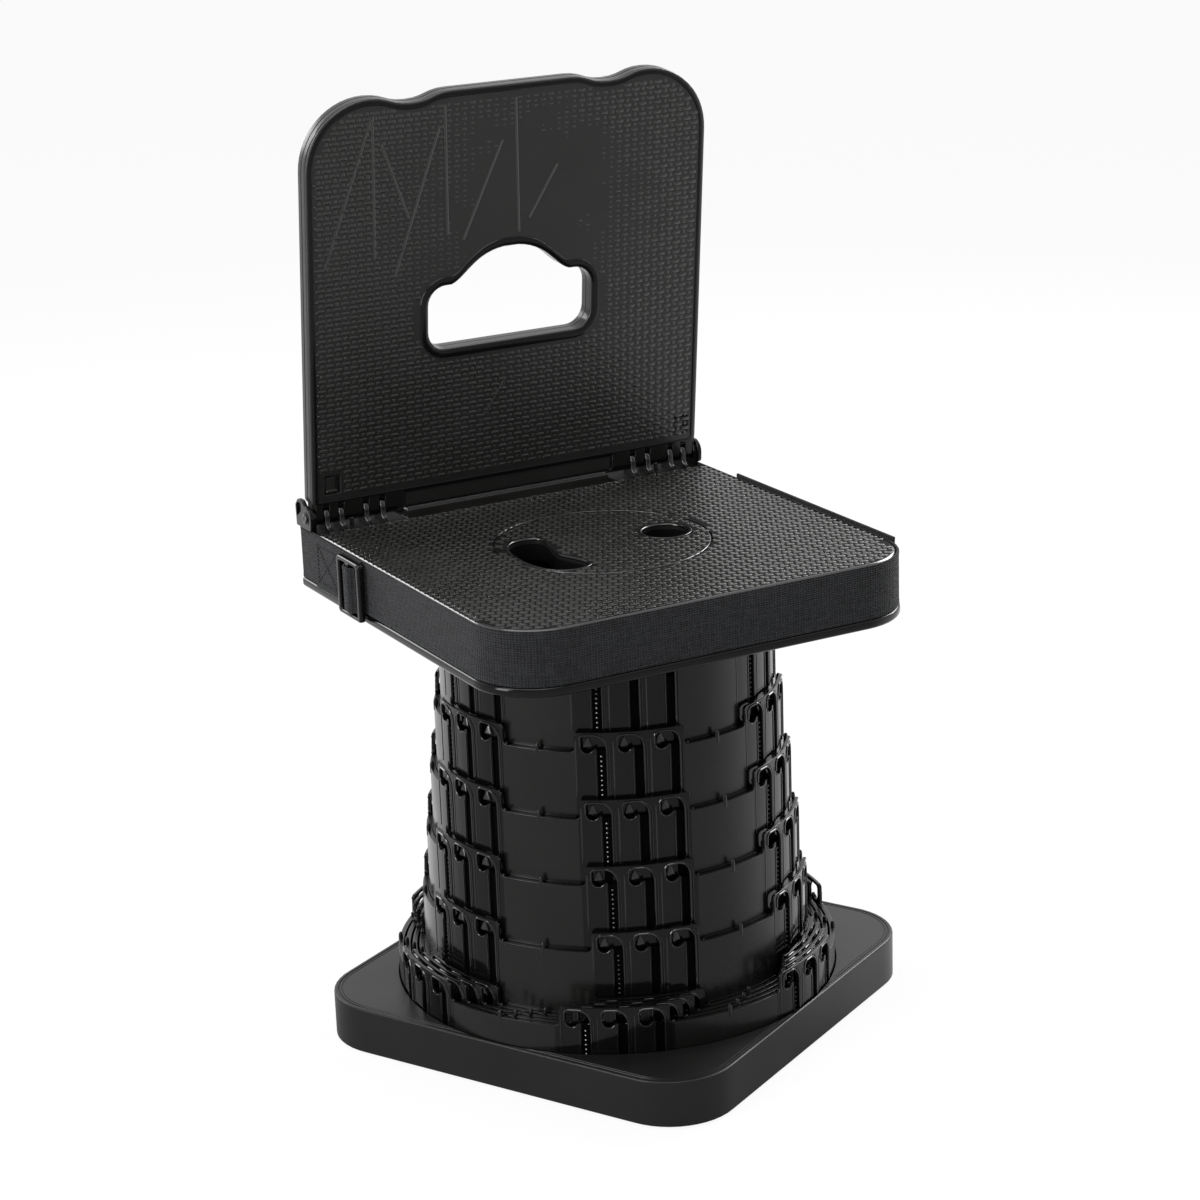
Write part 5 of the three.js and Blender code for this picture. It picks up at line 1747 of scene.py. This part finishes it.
def hole_outline(step_out=0.0):
    half, low = HOLE_HALF + step_out, HOLE_LOW - step_out
    shoulder, crown = HOLE_SHOULDER + step_out, HOLE_CROWN + step_out
    r, x = HOLE_CORNER + step_out, HOLE_SHOULDER_X
    lift = shoulder + (crown - shoulder) * 0.15
    return mirrored(
        arc(half - r, low + r, r, 270, 360, 7) + arc(half - r, shoulder - r, r, 0, 90, 7)
        + curve([(x, shoulder), (x * 0.75, lift), (x * 0.6, crown), (0, crown)], 14))


print("the backrest's outline has", len(back_outline()), "points, its hole", len(hole_outline()))

# %% [markdown]
# The front has a rounded rim, a raised collar round the hand hole, a lip between the hinges, two
# small latches, and five knuckles on each side that stand between the hinge's lugs. Three meshes
# with a finish each are joined, because they are one moulding.

# %% Front panel, rims and knuckles
LATCHES = ((-137.2, -126.2, 15.6, 28.6), (129.0, 140.0, 15.6, 28.6))
KNUCKLES = ((79.8, 94.0), (98.2, 105.9), (110.1, 124.1), (128.3, 134.6), (138.8, 144.4))
KNUCKLE_RADIUS = 4.5
LIP = (-79.4, 79.4, -2.5, 12)
FOOT_LUG_X, FOOT_LUG_Y = (143.5, 146.5), (6.2, 12.5)


def make_flat():
    bm = bmesh.new()
    pockets = [rounded_box(*latch, 0.8) for latch in LATCHES]
    add_panel(bm, back_outline(0.12), [hole_outline(0.1)] + pockets, FRONT_BACK, FACE, (0.3, 1.0),
              (0.3, 0.5))
    add_panel(bm, rounded_box(*LIP), [], FRONT_BACK, FACE - 0.3, (0.3, 1.2))
    for x0, x1, y0, y1 in LATCHES:
        add_panel(bm, rounded_box(x0 - 1, x1 + 1, y0 - 1, y1 + 1), [], -3.4, 0.8)
        add_panel(bm, rounded_box(x0 + 0.7, x1 - 3.4, y0 + 0.7, y1 - 1.2), [], 0, 3.3, (0, 0.5))
        add_panel(bm, rounded_box(x0 + 0.7, x1 - 2.2, y0 + 0.7, y0 + 3.2), [], 0, 4.3, (0, 0.9))
    for side in (-1, 1):
        lug = rounded_box(*spans(side, *FOOT_LUG_X), *FOOT_LUG_Y, 0.5)
        add_panel(bm, lug, [], FRONT_BACK, 3.0)
    return make_part(bm, "flat", BORDER, RISEN)


def make_rims():
    bm = bmesh.new()
    add_panel(bm, back_outline(), [back_outline(4.4)], 0, RIM, (0, 3.0), (0, 0.6), steps=5)
    add_panel(bm, hole_outline(6.2), [hole_outline()], FRONT_BACK, RIM + 0.3, (0, 1.6), (0.3, 2.6),
              steps=5)
    return make_part(bm, "rims", GLOSS, RISEN)


def make_knuckles():
    bm = bmesh.new()
    r = KNUCKLE_RADIUS
    web = arc(0, 0, r, 180, 330, 12) + [(3.5, 9.6), (-r, 9.6)]
    for side in (-1, 1):
        for a, b in KNUCKLES:
            add_panel(bm, web, [], *spans(side, a, b), (0.5, 0.5))
    return make_part(bm, "knuckles", PANEL, LEAN @ SIDEWAYS)


front = join_into("backrest_panel", [make_flat(), make_rims(), make_knuckles()])
finish(front, BORDER, "backrest", "satin_black_plastic", "backrest_front")

# %% [markdown]
# The rear cover can't be seen in the photograph. It is made as such covers are: smooth, with a
# softly rolled edge, and a sink for each of four screws.

# %% Rear cover
COVER_BACK, COVER_FRONT = -10.1, -3.8
BACK_SCREWS = [(x * 118, y) for x in (-1, 1) for y in (40, 230)]


def make_rear():
    bm = bmesh.new()
    sinks = [circle(x, y, 4.4, 24) for x, y in BACK_SCREWS]
    add_panel(bm, back_outline(), [hole_outline()] + sinks, COVER_BACK, COVER_FRONT, (2.6, 0.3),
              (1.4, 0.3), steps=4)
    for x, y in BACK_SCREWS:
        add_panel(bm, circle(x, y, 5, 24), [], -8, -5)
    finish_mesh(bm, "backrest_cover", PANEL, "backrest", "satin_black_plastic", "backrest_rear",
                place=RISEN)


make_rear()

# %% [markdown]
# The same weave covers the front up to a smooth border, and it is worn away in one broad place
# above the hand hole. Faint straight creases cross it, most of them near the top. They are low
# ribs with the emboss's own finish, placed one by one after the photograph. A bump map could draw
# them, but ribs of real height also show where the light grazes the panel.

# %% Emboss, creases and beads of the backrest
WORN_PLACE = (15, 55, 112)
CREASES = (((-100.2, 266), (-99.4, 171.7)), ((-48.9, 268), (-46.9, 181.7)),
           ((2.3, 268), (5.4, 177.5)), ((-100.3, 266), (-134.7, 169.6)),
           ((-52.5, 255), (-85.3, 158.1)), ((-94.3, 247.2), (-74.8, 195.7)),
           ((-7.3, 240.7), (-35.7, 177.2)), ((33.5, 220.4), (12.9, 186.4)),
           ((-2.9, 78), (-19.7, 53.2)))
CREASE_SIZE, CREASE_STEPS = (2.2, 0.45), 12
BACK_BEAD_X = -(BACK_HALF - 5.6)


def make_back_emboss():
    more = 1.6
    latches = [rounded_box(x0 - more, x1 + more, y0 - more, y1 + more) for x0, x1, y0, y1 in LATCHES]
    region, *holes = ([(x, y - BACK_MIDDLE) for x, y in outline]
                      for outline in [back_outline(6.4), hole_outline(8.6)] + latches)
    place = RISEN @ shifted(0, BACK_MIDDLE, FACE)
    emboss_over("backrest_emboss", region, holes, EMBOSSED, "backrest", 11, place, WORN_PLACE)


def make_creases():
    bm = bmesh.new()
    for a, b in CREASES:
        path = [between(a, b, i, CREASE_STEPS) for i in range(CREASE_STEPS + 1)]
        add_rib(bm, path, *CREASE_SIZE)
    finish_mesh(bm, "creases", EMBOSSED, "backrest", "woven_black_plastic",
                place=LEAN @ shifted(0, -FACE, 0))


make_back_emboss()
make_creases()
bead_row("backrest_edge_beads", [(BACK_BEAD_X, 225, FACE), (BACK_BEAD_X, 36, FACE)], "backrest", RISEN)

# %% [markdown]
# ## Screws
# One screw with a cross recess, copied by the points tree: four under the base, four under the
# seat, four behind the backrest, and the two of the hinge that only show when it is taken apart.
# A real thread would cost many faces inside the plastic, where nobody looks, so the shank is
# plain. The cross is part of the stack of loops: its outline widens into the round head.

# %% Screws
SCREW_HEAD = 3.5
SCREW_LENGTH = 11
SHANK_SHARE = 0.43
CROSS_REACH, CROSS_HALF = 2.1, 0.55
CORNER_SCREWS = [(x * SEAT_SCREW_REACH, y * SEAT_SCREW_REACH) for x, y in CORNERS]


def screw_mesh():
    """A screw whose head faces down at height zero."""
    bm = bmesh.new()
    arms = []
    for turn in range(4):
        a = math.radians(90 * turn)
        for u, v in ((CROSS_REACH, -CROSS_HALF), (CROSS_REACH, CROSS_HALF), (CROSS_HALF, CROSS_HALF)):
            arms.append((u * math.cos(a) - v * math.sin(a), u * math.sin(a) + v * math.cos(a)))
    head = [(SCREW_HEAD * x / math.hypot(x, y), SCREW_HEAD * y / math.hypot(x, y)) for x, y in arms]
    add_stack(bm, [[(x * share, y * share, z) for x, y in outline] for outline, share, z in (
        (head, SHANK_SHARE, -SCREW_LENGTH), (head, SHANK_SHARE, -1.8), (head, 1, -1.8),
        (head, 1, -0.7), (head, 0.8, 0), (arms, 1, -0.3), (arms, 0.25, -1.3))])
    return mesh_of(bm, "screw", turned(180, "X"))


def make_screws(body, places, nodes, place=None):
    made = on_points(f"{body}_screws", screw_mesh(), places, STEEL, place)
    finish(made, STEEL, body, "dark_steel", *nodes, weighted=False)


def four(word):
    return [f"{word}_{i}" for i in range(1, 5)]


make_screws("base", [(x, y, BASE_LIFT) for x, y in CORNER_SCREWS], four("base_screw"), BASE_TURN)
hinge_screws = [(x, HINGE_Y, 318.8) for x in (-117, 117)]
make_screws("seat", [(x, y, FLANGE_LOW) for x, y in CORNER_SCREWS] + hinge_screws,
            four("seat_screw") + ["hinge_screw_1", "hinge_screw_2"])
make_screws("backrest", [(x, y, COVER_BACK) for x, y in BACK_SCREWS], four("backrest_screw"), RISEN)

# %% [markdown]
# ## Last look
# The view stays plain so that black reads as black.

# %% View
scene.view_settings.view_transform = "Standard"
